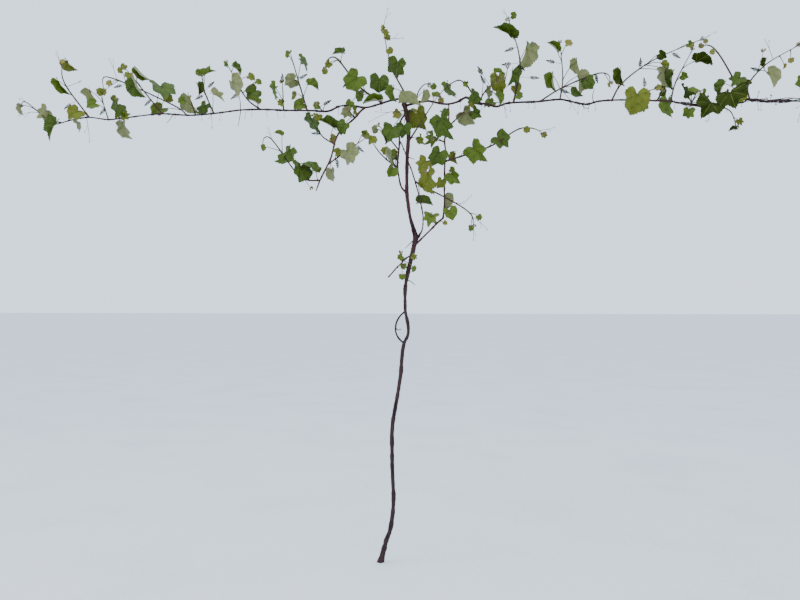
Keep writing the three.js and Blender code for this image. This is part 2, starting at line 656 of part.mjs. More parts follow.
shoot("shoot_second_1", { on: "second_cane", girth: 4, lean: -50,
  stem: [[80, 1560], [20, 1610], [-30, 1680]],
  leaves: [[60, 1550, 35, 45], [80, 1610, 30, 50], [55, 1600, 30, 60, UNDER], [35, 1625, 35, 30],
    [-25, 1680, 30, 25]],
});
shoot("shoot_trunk_1", { on: "trunk", girth: 4.5, lean: -70,
  stem: [[125, 1660], [240, 1835]],
  leaves: [[230, 1830, 35, 25], [170, 1670, 20, 35]],
  sides: [[[170, 1725], [200, 1690]]],
});
shoot("shoot_thin_1", { on: "thin_cane", girth: 4, lean: -80,
  stem: [[150, 1505], [365, 1375], [375, 1330]],
  leaves: [[180, 1495, 35, 30], [180, 1420, 60, 40], [395, 1365, 25, 25], [365, 1325, 20, 25]],
  tendrils: [[[295, 1410], [330, 1415], [365, 1445]], [[390, 1360], [425, 1320]], [[375, 1335], [375,
    1280]]],
});
shoot("shoot_renewal_1", { on: "renewal_cane_up", girth: 3.5, lean: -50,
  stem: [[280, 1735], [255, 1775]],
  leaves: [[255, 1730, 70, 100]],
});
shoot("shoot_renewal_2", { on: "renewal_cane_up", girth: 4, lean: 60,
  stem: [[275, 1710], [355, 1785]],
  leaves: [[345, 1755, 60, 70, UNDER], [380, 1765, 35, 45], [365, 1795, 35, 30]],
});
shoot("shoot_renewal_3", { on: "renewal_cane_up", girth: 3.5, lean: -50,
  stem: [[265, 1655], [215, 1670]],
  leaves: [[215, 1670, 40, 55]],
});
shoot("shoot_renewal_4", { on: "renewal_cane_up", girth: 4, lean: -70,
  stem: [[265, 1595], [185, 1545]],
  leaves: [[240, 1605, 70, 70], [185, 1575, 60, 55], [200, 1520, 45, 85]],
});
shoot("shoot_renewal_5", { on: "renewal_cane_up", girth: 4.5, lean: 70,
  stem: [[265, 1580], [440, 1635], [555, 1700], [610, 1695], [640, 1675]],
  leaves: [[305, 1600, 45, 50], [380, 1620, 70, 85], [475, 1660, 70, 60], [575, 1695, 25, 25], [640,
    1675, 25, 25]],
  tendrils: [[[625, 1690], [680, 1700]]],
});
shoot("shoot_renewal_6", { on: "renewal_cane_up", girth: 3.5, lean: -60,
  stem: [[265, 1515], [290, 1545]],
  leaves: [[295, 1525, 45, 60], [250, 1500, 35, 40]],
});
shoot("shoot_renewal_7", { on: "renewal_cane_up", girth: 3.5, lean: 60,
  stem: [[260, 1390], [290, 1410]],
  leaves: [[265, 1435, 40, 55, UNDER], [285, 1385, 50, 40]],
});
shoot("shoot_renewal_8", { on: "renewal_cane_low", girth: 3.5, lean: -50,
  stem: [[230, 1340], [210, 1380]],
  leaves: [[210, 1365, 60, 45], [265, 1345, 20, 20]],
});
shoot("shoot_low", { on: "cut_cane", girth: 3, lean: -30,
  stem: [[100, 1195], [95, 1235]],
  leaves: [[95, 1215, 25, 25], [105, 1180, 25, 25], [145, 1215, 25, 25], [145, 1170, 20, 25], [100,
    1140, 25, 25]],
});
shoot("shoot_right_01", { on: "right_arm", girth: 3.5, lean: -40,
  stem: [[150, 1805], [165, 1855], [190, 1880], [205, 1875]],
  leaves: [[180, 1840, 25, 50, UNDER], [220, 1870, 25, 25]],
});
shoot("shoot_right_02", { on: "right_arm", girth: 4, lean: 70,
  stem: [[375, 1805], [365, 1845], [320, 1890], [265, 1860], [240, 1830]],
  leaves: [[280, 1860, 35, 60], [345, 1875, 25, 25], [250, 1815, 25, 25]],
});
shoot("shoot_right_03", { on: "right_arm", girth: 4, lean: -60,
  stem: [[395, 1800], [420, 1845], [490, 1895]],
  leaves: [[380, 1830, 25, 45], [470, 1885, 55, 75], [465, 1915, 35, 25]],
  sides: [[[405, 1820], [410, 1880], [400, 1925]]],
  clusters: [[410, 1890], [400, 1925]],
});
shoot("shoot_right_04", { on: "right_arm", girth: 3.5, lean: 70,
  stem: [[475, 1790], [505, 1935]],
  leaves: [[435, 1840, 30, 45], [465, 1820, 30, 40], [440, 1800, 40, 25]],
  tendrils: [[[480, 1815], [500, 1745]]],
});
shoot("shoot_right_05", { on: "right_arm", girth: 5, lean: -80,
  stem: [[525, 1795], [550, 1920], [545, 1990], [505, 2120]],
  leaves: [[545, 1825, 30, 30], [535, 1855, 35, 40], [520, 1905, 35, 60], [570, 1985, 60, 90, UNDER],
    [505, 2060, 60, 50], [525, 2130, 25, 25]],
  tendrils: [[[505, 2105], [490, 2150]]],
  clusters: [[605, 1890], [555, 1930], [500, 1945], [510, 2000]],
});
shoot("shoot_right_06", { on: "right_arm", girth: 4, lean: -80,
  stem: [[625, 1800], [700, 1845], [850, 1900], [880, 1890], [885, 1860]],
  leaves: [[765, 1840, 45, 50], [770, 1875, 35, 75, UNDER], [805, 1870, 45, 50], [885, 1855, 20, 20]],
  clusters: [[835, 1880]],
});
shoot("shoot_right_07", { on: "right_arm", girth: 4, lean: 70,
  stem: [[700, 1805], [710, 1880], [700, 2025]],
  leaves: [[675, 1880, 30, 65], [765, 1935, 20, 45, UNDER], [680, 2000, 35, 35], [730, 2015, 30, 25]],
  tendrils: [[[700, 1835], [755, 1765]]],
  clusters: [[720, 1835], [665, 1950]],
});
shoot("shoot_right_09", { on: "right_arm", girth: 4.5, lean: 90,
  stem: [[890, 1795], [925, 1855], [1030, 1935], [1220, 2015]],
  leaves: [[925, 1890, 25, 65], [1080, 1885, 30, 65, UNDER], [1075, 1920, 20, 35], [1110, 1875, 35,
    65], [1070, 1960, 30, 35], [1175, 1995, 30, 30], [1230, 2005, 20, 20]],
  tendrils: [[[1200, 2005], [1260, 2035]]],
  clusters: [[995, 1935], [1125, 1955]],
});
shoot("shoot_right_10", { on: "right_arm", girth: 4, lean: -60,
  stem: [[975, 1795], [995, 1820], [1055, 1835]],
  leaves: [[980, 1800, 50, 95], [1005, 1775, 35, 35], [1060, 1840, 20, 20]],
  clusters: [[1010, 1860]],
});
shoot("shoot_right_11", { on: "right_arm", girth: 3.5, lean: -50,
  stem: [[1055, 1790], [1080, 1830]],
  leaves: [[1075, 1825, 30, 35], [1095, 1775, 35, 70]],
});
shoot("shoot_right_12", { on: "right_arm", girth: 4, lean: 60,
  stem: [[1105, 1785], [1120, 1850], [1185, 1980]],
  leaves: [[1150, 1880, 25, 30], [1210, 1930, 65, 30], [1185, 1985, 20, 20]],
});
shoot("shoot_right_13", { on: "right_arm", girth: 3.5, lean: -60,
  stem: [[1175, 1770], [1200, 1820]],
  leaves: [[1160, 1820, 30, 30], [1185, 1820, 50, 30], [1220, 1820, 25, 25], [1170, 1745, 45, 45]],
});
shoot("shoot_right_14", { on: "right_arm", girth: 3.5, lean: -60,
  stem: [[1255, 1765], [1235, 1800]],
  leaves: [[1245, 1770, 85, 55]],
  tendrils: [[[1245, 1785], [1240, 1715], [1230, 1710]]],
});
shoot("shoot_right_15", { on: "right_arm", girth: 3.5, lean: -70,
  stem: [[1330, 1775], [1305, 1820]],
  leaves: [[1320, 1805, 85, 55], [1355, 1800, 40, 40]],
});
shoot("shoot_right_16", { on: "right_arm", girth: 4.5, lean: 70,
  stem: [[1370, 1785], [1250, 1985], [1210, 1990]],
  leaves: [[1370, 1840, 35, 30], [1345, 1860, 55, 50], [1290, 1835, 35, 50], [1255, 1965, 20, 20],
    [1215, 1990, 20, 20]],
});
shoot("shoot_right_17", { on: "right_arm", girth: 4.5, lean: -66,
  stem: [[1385, 1785], [1380, 1835], [1435, 1905], [1560, 1980]],
  leaves: [[1455, 1870, 30, 55, UNDER], [1440, 1920, 20, 30], [1505, 1905, 20, 20], [1530, 1925, 20,
    20], [1570, 1985, 25, 20]],
  sides: [[[1415, 1875], [1425, 1920], [1435, 1965]]],
  tendrils: [[[1430, 1965], [1440, 2000]]],
  clusters: [[1405, 1895]],
});
shoot("shoot_right_18", { on: "right_arm", girth: 3.5, lean: 60,
  stem: [[1275, 1765], [1320, 1740], [1340, 1680]],
  leaves: [[1350, 1705, 30, 30], [1330, 1675, 30, 25]],
});
shoot("shoot_right_19", { on: "right_arm", girth: 4, lean: 60,
  stem: [[1565, 1775], [1635, 1905], [1640, 1955]],
  leaves: [[1600, 1800, 50, 50], [1575, 1845, 35, 50], [1640, 1865, 40, 40, UNDER], [1620, 1920, 30,
    30], [1640, 1960, 20, 20]],
  tendrils: [[[1575, 1795], [1555, 1700]]],
  clusters: [[1645, 1900]],
});
shoot("shoot_right_20", { on: "right_arm", girth: 3.5, lean: -50,
  stem: [[1600, 1775], [1635, 1785], [1695, 1845]],
  leaves: [[1640, 1745, 45, 45], [1675, 1780, 40, 35, UNDER], [1680, 1845, 30, 30]],
  tendrils: [[[1680, 1830], [1720, 1855]]],
});

// The scene graph: the wood and the shoots of each limb in groups of their own

function meshOf(name, body, look) {
  const { vertProperties, triVerts, numProp } = body.simplify(SLIVER).getMesh();
  const geometry = new THREE.BufferGeometry();
  geometry.setAttribute("position", new THREE.Float32BufferAttribute(vertProperties, numProp));
  geometry.setIndex(Array.from(triVerts));
  geometry.computeVertexNormals();
  const mesh = new THREE.Mesh(geometry, look);
  mesh.name = name;
  return mesh;
}

const vine = new THREE.Group();
const wood = new THREE.Group();
vine.add(wood);
Object.entries(limbs).forEach(([name, { body }]) => {
  const look = name === "trunk" ? material(BARK, 0.9) : material(name.includes("arm") ? CANE : RED_BARK, 0.8);
  wood.add(meshOf(name, body, look));
});
Object.keys(limbs).forEach((carrier) => {
  const shoots = new THREE.Group();
  foliage
    .filter(({ on }) => on === carrier)
    .forEach(({ name, body, tint }) => shoots.add(meshOf(name, body, material(tint, 0.55))));
  vine.add(shoots);
});

export default vine;
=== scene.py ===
# %% [markdown]
# # A young grapevine in spring
# One vine in its first leafy weeks: a thin trunk that leans out of the ground and climbs to head height,
# two long level arms, a few hanging canes, and some fifty short shoots with leaves, tendrils and flower
# buds. The lesson builds it from the ground up: light and view, wood, green shoots, then the finishes.
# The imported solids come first, because every piece has to stay where they are.

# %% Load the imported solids
import math

import bpy
import numpy as np
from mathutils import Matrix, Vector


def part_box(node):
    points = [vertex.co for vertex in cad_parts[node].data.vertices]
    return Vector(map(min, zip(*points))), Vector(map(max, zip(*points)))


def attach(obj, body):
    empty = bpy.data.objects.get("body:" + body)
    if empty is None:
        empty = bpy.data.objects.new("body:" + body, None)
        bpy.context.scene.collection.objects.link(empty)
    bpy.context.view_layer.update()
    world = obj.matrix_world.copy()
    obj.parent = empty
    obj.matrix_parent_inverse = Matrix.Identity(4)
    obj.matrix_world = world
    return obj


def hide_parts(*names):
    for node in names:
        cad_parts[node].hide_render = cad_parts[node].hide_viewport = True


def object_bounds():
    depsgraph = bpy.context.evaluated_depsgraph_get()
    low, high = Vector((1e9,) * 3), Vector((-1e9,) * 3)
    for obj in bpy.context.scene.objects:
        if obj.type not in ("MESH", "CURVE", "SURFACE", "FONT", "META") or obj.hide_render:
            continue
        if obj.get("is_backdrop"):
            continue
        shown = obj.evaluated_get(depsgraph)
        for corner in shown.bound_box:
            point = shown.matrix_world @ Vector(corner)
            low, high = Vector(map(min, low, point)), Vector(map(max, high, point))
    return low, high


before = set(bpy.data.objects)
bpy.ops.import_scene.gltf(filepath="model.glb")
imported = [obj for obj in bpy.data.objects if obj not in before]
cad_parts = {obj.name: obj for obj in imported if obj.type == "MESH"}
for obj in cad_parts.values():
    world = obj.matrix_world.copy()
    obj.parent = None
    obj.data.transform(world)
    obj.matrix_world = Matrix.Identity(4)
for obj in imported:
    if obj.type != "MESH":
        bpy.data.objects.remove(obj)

solids_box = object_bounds()
shoot_nodes = sorted(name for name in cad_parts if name.startswith("shoot_"))
print("solids:", len(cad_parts), "of them shoots:", len(shoot_nodes))

# %% [markdown]
# ## Where a thing stands
# The vine was measured by looking at it from one spot. So each place in this file is written as two
# numbers, x and z in millimetres, read on the plane of the arms. Moving such a place along the line of
# sight changes its depth and nothing in the view, which lets shoots lean to both sides of the row while
# the picture stays true. The other way would be three free numbers for each leaf, which nobody could
# check against a picture.

# %% Places on the line of sight
MM = 0.001
EYE = np.array([480.0, -3265.0, 1048.0])
ROW_Y = -100.0


def on_sight(place, depth):
    """The place [x, z], moved along the line of sight until it stands `depth` behind the arms' plane."""
    share = (ROW_Y + depth - EYE[1]) / (ROW_Y - EYE[1])
    x = EYE[0] + (place[0] - EYE[0]) * share
    z = EYE[2] + (place[1] - EYE[2]) * share
    return np.array([x, ROW_Y + depth, z])


def unit(vector):
    """The same direction, one long."""
    return vector / max(np.linalg.norm(vector), 1e-9)


print("a leaf 60 mm nearer moves to", on_sight([500, 1800], -60).round(1))

# %% [markdown]
# ## The view
# A level camera at waist height, turned a little to the left. Its lens follows from how wide the view
# is: the picture is 800 points wide and the distance to the picture plane is 825 of them, so on a 36 mm
# sensor the lens is 37 mm. Lenses could be tried until one fits, but a number worked out can be checked.

# %% Camera
VIEW_WIDTH = 800
VIEW_DISTANCE = 825
SENSOR_MM = 36
SEEN_TO = 200  # metres
TURNED_LEFT = math.radians(7)

camera_data = bpy.data.cameras.new("view")
camera_data.sensor_width = SENSOR_MM
camera_data.lens = SENSOR_MM * VIEW_DISTANCE / VIEW_WIDTH
camera_data.clip_end = SEEN_TO
camera = bpy.data.objects.new("view", camera_data)
camera.location = EYE * MM
camera.rotation_euler = (math.pi / 2, 0, TURNED_LEFT)
bpy.context.scene.collection.objects.link(camera)
bpy.context.scene.camera = camera
print("lens", round(camera_data.lens, 2), "mm")

# %% [markdown]
# ## Light and floor
# The vine was seen under a thick even sky, which gives light from all over and hardly a shadow. A pale
# world does the same. One wide lamp above and a weaker one at the front keep some shape in the leaves.
# A sun lamp would draw hard shadows that such a day doesn't have.

# %% World, lamps and floor
SKY_TINT = (0.72, 0.85, 1.0, 1)
SKY_STRENGTH = 1.9
LAMP_ABOVE = {"place": (-1.5, -2.5, 5.5), "size": 4.0, "power": 150}
LAMP_FRONT = {"place": (3.5, -4.5, 2.5), "size": 3.0, "power": 40}
FLOOR_HALF = 60  # metres

world = bpy.data.worlds.new("even_sky")
world.use_nodes = True
sky = world.node_tree.nodes["Background"]
sky.inputs["Color"].default_value = SKY_TINT
sky.inputs["Strength"].default_value = SKY_STRENGTH
bpy.context.scene.world = world


def lamp(name, place, aim, size, power):
    """A wide soft lamp that looks at a point."""
    data = bpy.data.lights.new(name, "AREA")
    data.shape = "DISK"
    data.size = size
    data.energy = power
    holder = bpy.data.objects.new(name, data)
    holder.location = place
    holder.rotation_euler = (holder.location - aim).to_track_quat("Z", "Y").to_euler()
    bpy.context.scene.collection.objects.link(holder)


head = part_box("trunk")[1]
lamp("lamp_above", aim=head, **LAMP_ABOVE)
lamp("lamp_front", aim=head, **LAMP_FRONT)

floor_data = bpy.data.meshes.new("floor")
floor_corners = [(-FLOOR_HALF, -FLOOR_HALF, 0), (FLOOR_HALF, -FLOOR_HALF, 0)]
floor_corners += [(FLOOR_HALF, FLOOR_HALF, 0), (-FLOOR_HALF, FLOOR_HALF, 0)]
floor_data.from_pydata(floor_corners, [], [(0, 1, 2, 3)])
floor = bpy.data.objects.new("floor", floor_data)
bpy.context.scene.collection.objects.link(floor)
floor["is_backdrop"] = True
print("floor", 2 * FLOOR_HALF, "m wide")

# %% [markdown]
# ## Chance that repeats
# No two leaves are alike, yet the vine has to grow the same way each time. A small seeded generator does
# that: the same seed always gives the same row of numbers. The solids were grown with it too, so a leaf
# here hangs where its solid does.

# %% A seeded generator
STATES = 2**32
SEED_RANGE = 1e6  # a drawn number times this is the seed of another row
FACTOR, ADDED = 1664525, 1013904223  # a well-known pair that runs through every state before it repeats


def seeded(seed):
    """A function that gives the next number between 0 and 1 on each call."""
    state = int(seed) % STATES

    def draw():
        nonlocal state
        state = (state * FACTOR + ADDED) % STATES
        return state / STATES

    return draw


def between(draw, low, high):
    """A random number from low to high."""
    return low + (high - low) * draw()


print("three first numbers:", [round(seeded(seed)(), 3) for seed in (48, 85, 122)])

# %% [markdown]
# ## Smooth routes
# A stem is drawn as a few given points and a smooth curve through them. A Catmull-Rom curve goes
# through every point, which a Bezier curve with free handles does not do without care.

# %% Routes
MEASURED_AT = 201  # places along a route, to add up its length


class Route:
    """A smooth curve through points. A share of 0 is its foot and 1 its tip."""

    def __init__(self, points):
        self.points = np.asarray(points, float)
        steps = self.many(MEASURED_AT)
        self.length = np.linalg.norm(np.diff(steps, axis=0), axis=1).sum()

    def at(self, share):
        """The place at a share of the way."""
        points = self.points
        last = len(points) - 1
        first = min(int(share * last), last - 1)
        u = share * last - first
        b, c = points[first], points[first + 1]
        a = points[first - 1] if first > 0 else 2 * b - c
        d = points[first + 2] if first + 2 <= last else 2 * c - b
        before, here, after = (max(np.linalg.norm(q - p), 1e-6) ** 0.5 for p, q in ((a, b), (b, c), (c, d)))
        leave = ((b - a) / before - (c - a) / (before + here) + (c - b) / here) * here
        reach = ((c - b) / here - (d - b) / (here + after) + (d - c) / after) * here
        bend = 3 * (c - b) - 2 * leave - reach
        twist = 2 * (b - c) + leave + reach
        return b + leave * u + bend * u**2 + twist * u**3

    def many(self, count):
        """Places at even shares of the way, with both ends."""
        return np.array([self.at(share) for share in np.linspace(0, 1, count)])


print("a bent route is", round(Route([[0, 0, 0], [50, 0, 60], [50, 0, 140]]).length), "mm long")

# %% [markdown]
# ## Collecting a mesh
# Hundreds of leaves as hundreds of objects would be slow to handle. Each kind of thing is gathered in one
# heap of points and faces instead, and becomes one object at the end. A face remembers its kind, which
# picks its finish.

# %% A heap of points and faces


class Heap:
    """Points and faces of many like things, and a kind for each face."""

    def __init__(self):
        self.points, self.faces, self.kinds, self.count = [], [], [], 0

    def add(self, points, faces, kinds):
        """Adds points, faces that count from 0 among them, and one kind for all or one for each face."""
        self.faces += [[i + self.count for i in face] for face in faces]
        self.kinds += [kinds] * len(faces) if isinstance(kinds, int) else list(kinds)
        self.points.append(np.asarray(points, float))
        self.count += len(points)


def piece(name, heap, finishes, replaces=()):
    """Turns a heap into one object that rides with the vine."""
    mesh = bpy.data.meshes.new(name)
    mesh.from_pydata(np.concatenate(heap.points) * MM, [], heap.faces)
    for finish in finishes:
        mesh.materials.append(finish)
    mesh.polygons.foreach_set("material_index", heap.kinds)
    mesh.shade_smooth()
    mesh.update()
    made = bpy.data.objects.new(name, mesh)
    bpy.context.scene.collection.objects.link(made)
    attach(made, "root")
    if replaces:
        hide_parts(*replaces)
    print(name, "has", sum(len(face) - 2 for face in heap.faces), "triangles")
    return made


sample = Heap()
sample.add([[0, 0, 0], [10, 0, 0], [0, 10, 0]], [[0, 1, 2]], 0)
print("a heap with one triangle holds", sample.count, "points")

# %% [markdown]
# ## Tubes
# Wood, stems, stalks and tendrils are all round bars along a route. One helper makes them: it carries a
# frame along the route without letting it spin, lays a ring of points at each step, and closes both ends.
# A ring's radius may be one number or one for each of its points, which is how bark gets its furrows.
# Blender's bevelled curves give round bars too, but their section is the same all along.

# %% A tube helper
STEEP = 0.9  # a bar that rises by more than this share of its length counts as upright


def rings(centres):
    """Two directions across the route at each centre, carried along without spinning."""
    along = np.gradient(centres, axis=0)
    across = np.zeros_like(centres)
    start = np.array([1.0, 0, 0]) if abs(unit(along[0])[2]) > STEEP else np.array([0, 0, 1.0])
    for i, way in enumerate(along):
        way = unit(way)
        start = unit(start - way * start.dot(way))
        across[i] = start
    return across, np.cross([unit(way) for way in along], across)


def tube(heap, centres, radii, sides, kinds=0):
    """A closed round bar. `kinds` is one number, or one for each stretch between two rings."""
    centres = np.asarray(centres, float)
    count = len(centres)
    radii = np.asarray(radii, float).reshape(count, -1)
    across, over = rings(centres)
    turn = np.linspace(0, 2 * math.pi, sides, endpoint=False)
    rim = np.cos(turn)[None, :, None] * across[:, None] + np.sin(turn)[None, :, None] * over[:, None]
    body = centres[:, None] + rim * radii[:, :, None]
    points = np.concatenate([body.reshape(-1, 3), centres[:1], centres[-1:]])
    stretch = [kinds] * (count - 1) if isinstance(kinds, int) else list(kinds)
    faces, face_kinds = [], []
    for ring in range(count - 1):
        for side in range(sides):
            after = (side + 1) % sides
            low, high = ring * sides, (ring + 1) * sides
            faces.append([low + side, low + after, high + after, high + side])
            face_kinds.append(stretch[ring])
    foot, tip, top = count * sides, count * sides + 1, (count - 1) * sides
    for side in range(sides):
        after = (side + 1) % sides
        faces += [[foot, after, side], [tip, top + side, top + after]]
        face_kinds += [stretch[0], stretch[-1]]
    heap.add(points, faces, face_kinds)


tube(sample, [[0, 0, 0], [0, 0, 10], [0, 0, 20]], [2, 2, 2], 8)
print("with a tube of three rings and eight sides it holds", sample.count)

# %% [markdown]
# ## Bark relief
# A vine's bark is a coat of loose fibres: long shallow furrows that wander round the trunk, and lumps
# where shoots once stood. A displacement texture would need a very fine mesh and a mapping along each
# limb. Waves round the ring whose phase drifts along the limb give the same furrows on a light mesh.

# %% Furrows and lumps
DRIFT, DRIFT_PERIOD = 3.2, 55  # how far a furrow turns about the limb, in radians, and over how many mm
FADE, FADE_PERIOD = 0.4, 30  # how much its depth comes and goes
LUMP_PERIODS = (18, 7)
LUMP_SHARE = 0.5  # height of the lumps against the furrows' depth


def wander(draw, length, period):
    """A smooth random line, read at any distance along a limb."""
    knots = np.array([draw() for _ in range(int(length / period) + 4)]) * 2 - 1

    def at(distance):
        place = np.clip(np.asarray(distance) / period, 0, len(knots) - 1.001)
        first = place.astype(int)
        blend = (1 - np.cos((place - first) * math.pi)) / 2
        return knots[first] * (1 - blend) + knots[first + 1] * blend

    return at


def bark_relief(seed, distance, sides, depth, furrows):
    """How far each point of each ring stands out, as a factor of the radius."""
    draw = seeded(seed)
    length = distance[-1]
    turn = np.linspace(0, 2 * math.pi, sides, endpoint=False)
    relief = np.ones((len(distance), sides))
    for number in furrows:
        drift = wander(draw, length, DRIFT_PERIOD)(distance) * DRIFT
        strength = (1 - FADE + FADE * wander(draw, length, FADE_PERIOD)(distance)) * depth / len(furrows)
        relief += strength[:, None] * np.cos(number * turn[None] + drift[:, None])
    broad, fine = (wander(draw, length, period)(distance)[:, None] for period in LUMP_PERIODS)
    return relief + (broad + fine / 2) * depth * LUMP_SHARE


print("furrows differ by", bark_relief(3, np.arange(0, 200.0, 4), 24, 0.2, [3, 5, 8]).std().round(3))

# %% [markdown]
# ## The limbs
# Each limb is a row of stations: where its middle runs and how thick it is there. Some limbs stand out of
# the arms' plane; their rows are read through the line of sight. The same rows shaped the solids, so the
# wood stays where they are. Sculpting would bend it more freely and soon lead it away from them.

# %% Stations of the limbs
TRUNK = [
    [0, 0, 0, 17], [12, -15, 41, 17], [30, -40, 101, 17], [47, -60, 146, 16], [60, -85, 212, 16],
    [66, -98, 282, 15], [62, -100, 371, 15], [60, -100, 467, 15], [61, -100, 545, 15], [67, -98, 603, 15],
    [80, -89, 679, 14], [93, -84, 768, 14], [99, -87, 846, 13], [107, -93, 883, 13], [121, -99, 911, 11],
    [124, -102, 940, 11], [119, -99, 971, 12], [112, -93, 1002, 13], [110, -90, 1060, 12],
    [111, -90, 1100, 14], [117, -92, 1133, 15], [125, -94, 1172, 16], [138, -96, 1222, 16],
    [147, -98, 1264, 17], [152, -98, 1290, 19], [143, -97, 1322, 15], [131, -96, 1365, 12],
    [123, -94, 1412, 11], [117, -92, 1462, 14], [117, -92, 1532, 13], [119, -94, 1609, 14],
    [124, -96, 1674, 14], [123, -98, 1724, 14], [116, -100, 1770, 17], [107, -100, 1808, 18],
]
LEFT_ARM = [
    [110, 1803, 10], [88, 1824, 9], [55, 1820, 8.5], [5, 1806, 8], [-40, 1796, 8], [-95, 1803, 7.5],
    [-145, 1804, 7], [-190, 1786, 8], [-260, 1790, 7], [-365, 1794, 7], [-455, 1800, 7], [-545, 1800, 6.5],
    [-650, 1790, 6.5], [-750, 1785, 6.5], [-875, 1794, 6], [-1005, 1784, 6], [-1095, 1777, 5.5],
    [-1180, 1788, 5.5], [-1250, 1780, 5], [-1315, 1764, 4.5],
]
RIGHT_ARM = [
    [112, 1798, 10], [160, 1809, 9], [200, 1814, 9], [236, 1806, 8.5], [275, 1800, 8], [315, 1808, 8.5],
    [347, 1823, 9.5], [380, 1801, 9.5], [425, 1796, 8.5], [462, 1785, 8.5], [500, 1796, 8],
    [552, 1799, 7.5], [612, 1799, 7.5], [702, 1805, 7.5], [746, 1795, 7], [798, 1784, 7], [842, 1794, 7],
    [904, 1797, 6.5], [1014, 1792, 6.5], [1104, 1786, 6.5], [1176, 1771, 6.5], [1230, 1762, 6.5],
    [1284, 1766, 6.5], [1336, 1777, 7.5], [1376, 1787, 7], [1424, 1779, 6], [1494, 1776, 6],
    [1563, 1774, 5.5], [1605, 1776, 5],
]
RENEWAL_CANE_LOW = [[143, 1249, 8], [160, 1269, 7.5], [209, 1317, 7], [236, 1344, 7.5], [259, 1363, 8]]
HANGING_CANE = [
    [-46, -100, 1796, 8.5], [-66, -103, 1779, 8.5], [-86, -106, 1756, 8], [-131, -112, 1719, 7.5],
    [-151, -116, 1696, 8], [-164, -119, 1665, 7], [-180, -124, 1604, 6.5], [-191, -126, 1580, 7],
    [-221, -131, 1522, 6.5], [-240, -134, 1475, 4.5],
]
SECOND_CANE = [
    [116, -95, 1462, 9], [97, -97, 1484, 8], [86, -100, 1530, 7], [81, -102, 1566, 8], [85, -102, 1610, 7],
    [89, -102, 1650, 6.5], [89, -102, 1705, 6.5], [95, -101, 1742, 7], [113, -100, 1768, 7],
]
THIN_CANE = [
    [166, -98, 1298, 7], [175, -97, 1312, 5.5], [180, -94, 1335, 5], [180, -88, 1376, 5],
    [166, -80, 1446, 5], [147, -77, 1515, 6], [136, -76, 1550, 5], [123, -76, 1582, 5],
    [110, -80, 1620, 4.5], [100, -90, 1645, 4.5], [92, -100, 1662, 4],
]
RENEWAL_CANE_UP = [
    [258, -100, 1362, 7], [263, -97, 1413, 6], [263, -95, 1470, 6], [264, -94, 1547, 6.5],
    [267, -94, 1624, 6], [264, -95, 1659, 7.5], [271, -96, 1701, 6], [279, -98, 1731, 5.5],
    [280, -100, 1800, 5],
]
CUT_CANE = [
    [138, -97, 1222, 6.5], [118, -106, 1211, 6], [93, -114, 1187, 5.5], [74, -118, 1168, 5.5],
    [52, -121, 1143, 6], [45, -122, 1136, 8],
]


def in_row(rows):
    """Stations on the arms' plane, from rows of [x, z, girth]."""
    return np.array([[x, ROW_Y, z, girth] for x, z, girth in rows], float)


def seen(rows):
    """Stations off that plane, from rows of [x, depth line, z, girth]."""
    return np.array([[*on_sight([x, z], y - ROW_Y), girth] for x, y, z, girth in rows], float)


limbs = {
    "trunk": np.array(TRUNK, float),
    "left_arm": in_row(LEFT_ARM),
    "right_arm": in_row(RIGHT_ARM),
    "hanging_cane": seen(HANGING_CANE),
    "second_cane": seen(SECOND_CANE),
    "thin_cane": seen(THIN_CANE),
    "renewal_cane_low": in_row(RENEWAL_CANE_LOW),
    "renewal_cane_up": seen(RENEWAL_CANE_UP),
    "cut_cane": seen(CUT_CANE),
}
print("limbs:", ", ".join(limbs))

# %% [markdown]
# ## Wood
# A limb's mesh follows its stations with a ring every few millimetres. Arms and canes are one year old:
# every hand's width they carry a node, a short swelling with a bud or the stump of an old one. The trunk
# flares at its foot, where the first ring lies flat on the ground. A skin modifier over a few edges would
# be quicker to write, but nobody could say where its rings lie, and furrows and nodes need that.

# %% Limb meshes
RING_STEP = 3.5
TRUNK_SIDES, ARM_SIDES, CANE_SIDES = 40, 14, 12
TRUNK_SEED, TRUNK_RELIEF, TRUNK_FURROWS = 5, 0.32, [3, 5, 9, 14]
YOUNG_RELIEF, YOUNG_FURROWS = 0.16, [2, 4, 7]
FLARE_GIRTH = 10.0
FLARE_HEIGHT = 34.0
FLARE_LOBES, FLARE_LOBING = 4, 0.3
LEVEL_FROM = 30  # below this height, the trunk's rings turn level towards the ground
COLLAR_REACH, COLLAR_SWELL = 9.0, 0.35  # a limb swells where it leaves its parent
NODE_REACH, NODE_SWELL = 4.5, 0.3
FIRST_GAP = 0.6  # the first node's distance against the others'
GAP_SPREAD = (0.75, 1.25)
BARE_END = 12
NODES = {  # seed, and millimetres between nodes
    "left_arm": (21, 88),
    "right_arm": (33, 92),
    "hanging_cane": (50, 74),
    "second_cane": (51, 74),
    "thin_cane": (52, 74),
    "renewal_cane_low": (53, 74),
    "renewal_cane_up": (54, 74),
    "cut_cane": (61, 50),
}
limb_lines = {}


def limb_rings(name):
    """Middle line, distance and radius of a limb at every ring."""
    stations = limbs[name]
    route = Route(stations[:, :3])
    count = max(int(route.length / RING_STEP), 8)
    shares = np.linspace(0, 1, count)
    centres = np.array([route.at(share) for share in shares])
    radius = np.interp(shares * (len(stations) - 1), np.arange(len(stations)), stations[:, 3]) / 2
    distance = np.concatenate([[0], np.cumsum(np.linalg.norm(np.diff(centres, axis=0), axis=1))])
    limb_lines[name] = (centres, distance, radius)
    return centres, distance, radius


def node_places(seed, length, apart):
    """Distances along a limb where its nodes stand."""
    draw = seeded(seed)
    places, at = [], apart * FIRST_GAP
    while at < length - BARE_END:
        places.append(at)
        at += apart * between(draw, *GAP_SPREAD)
    return places


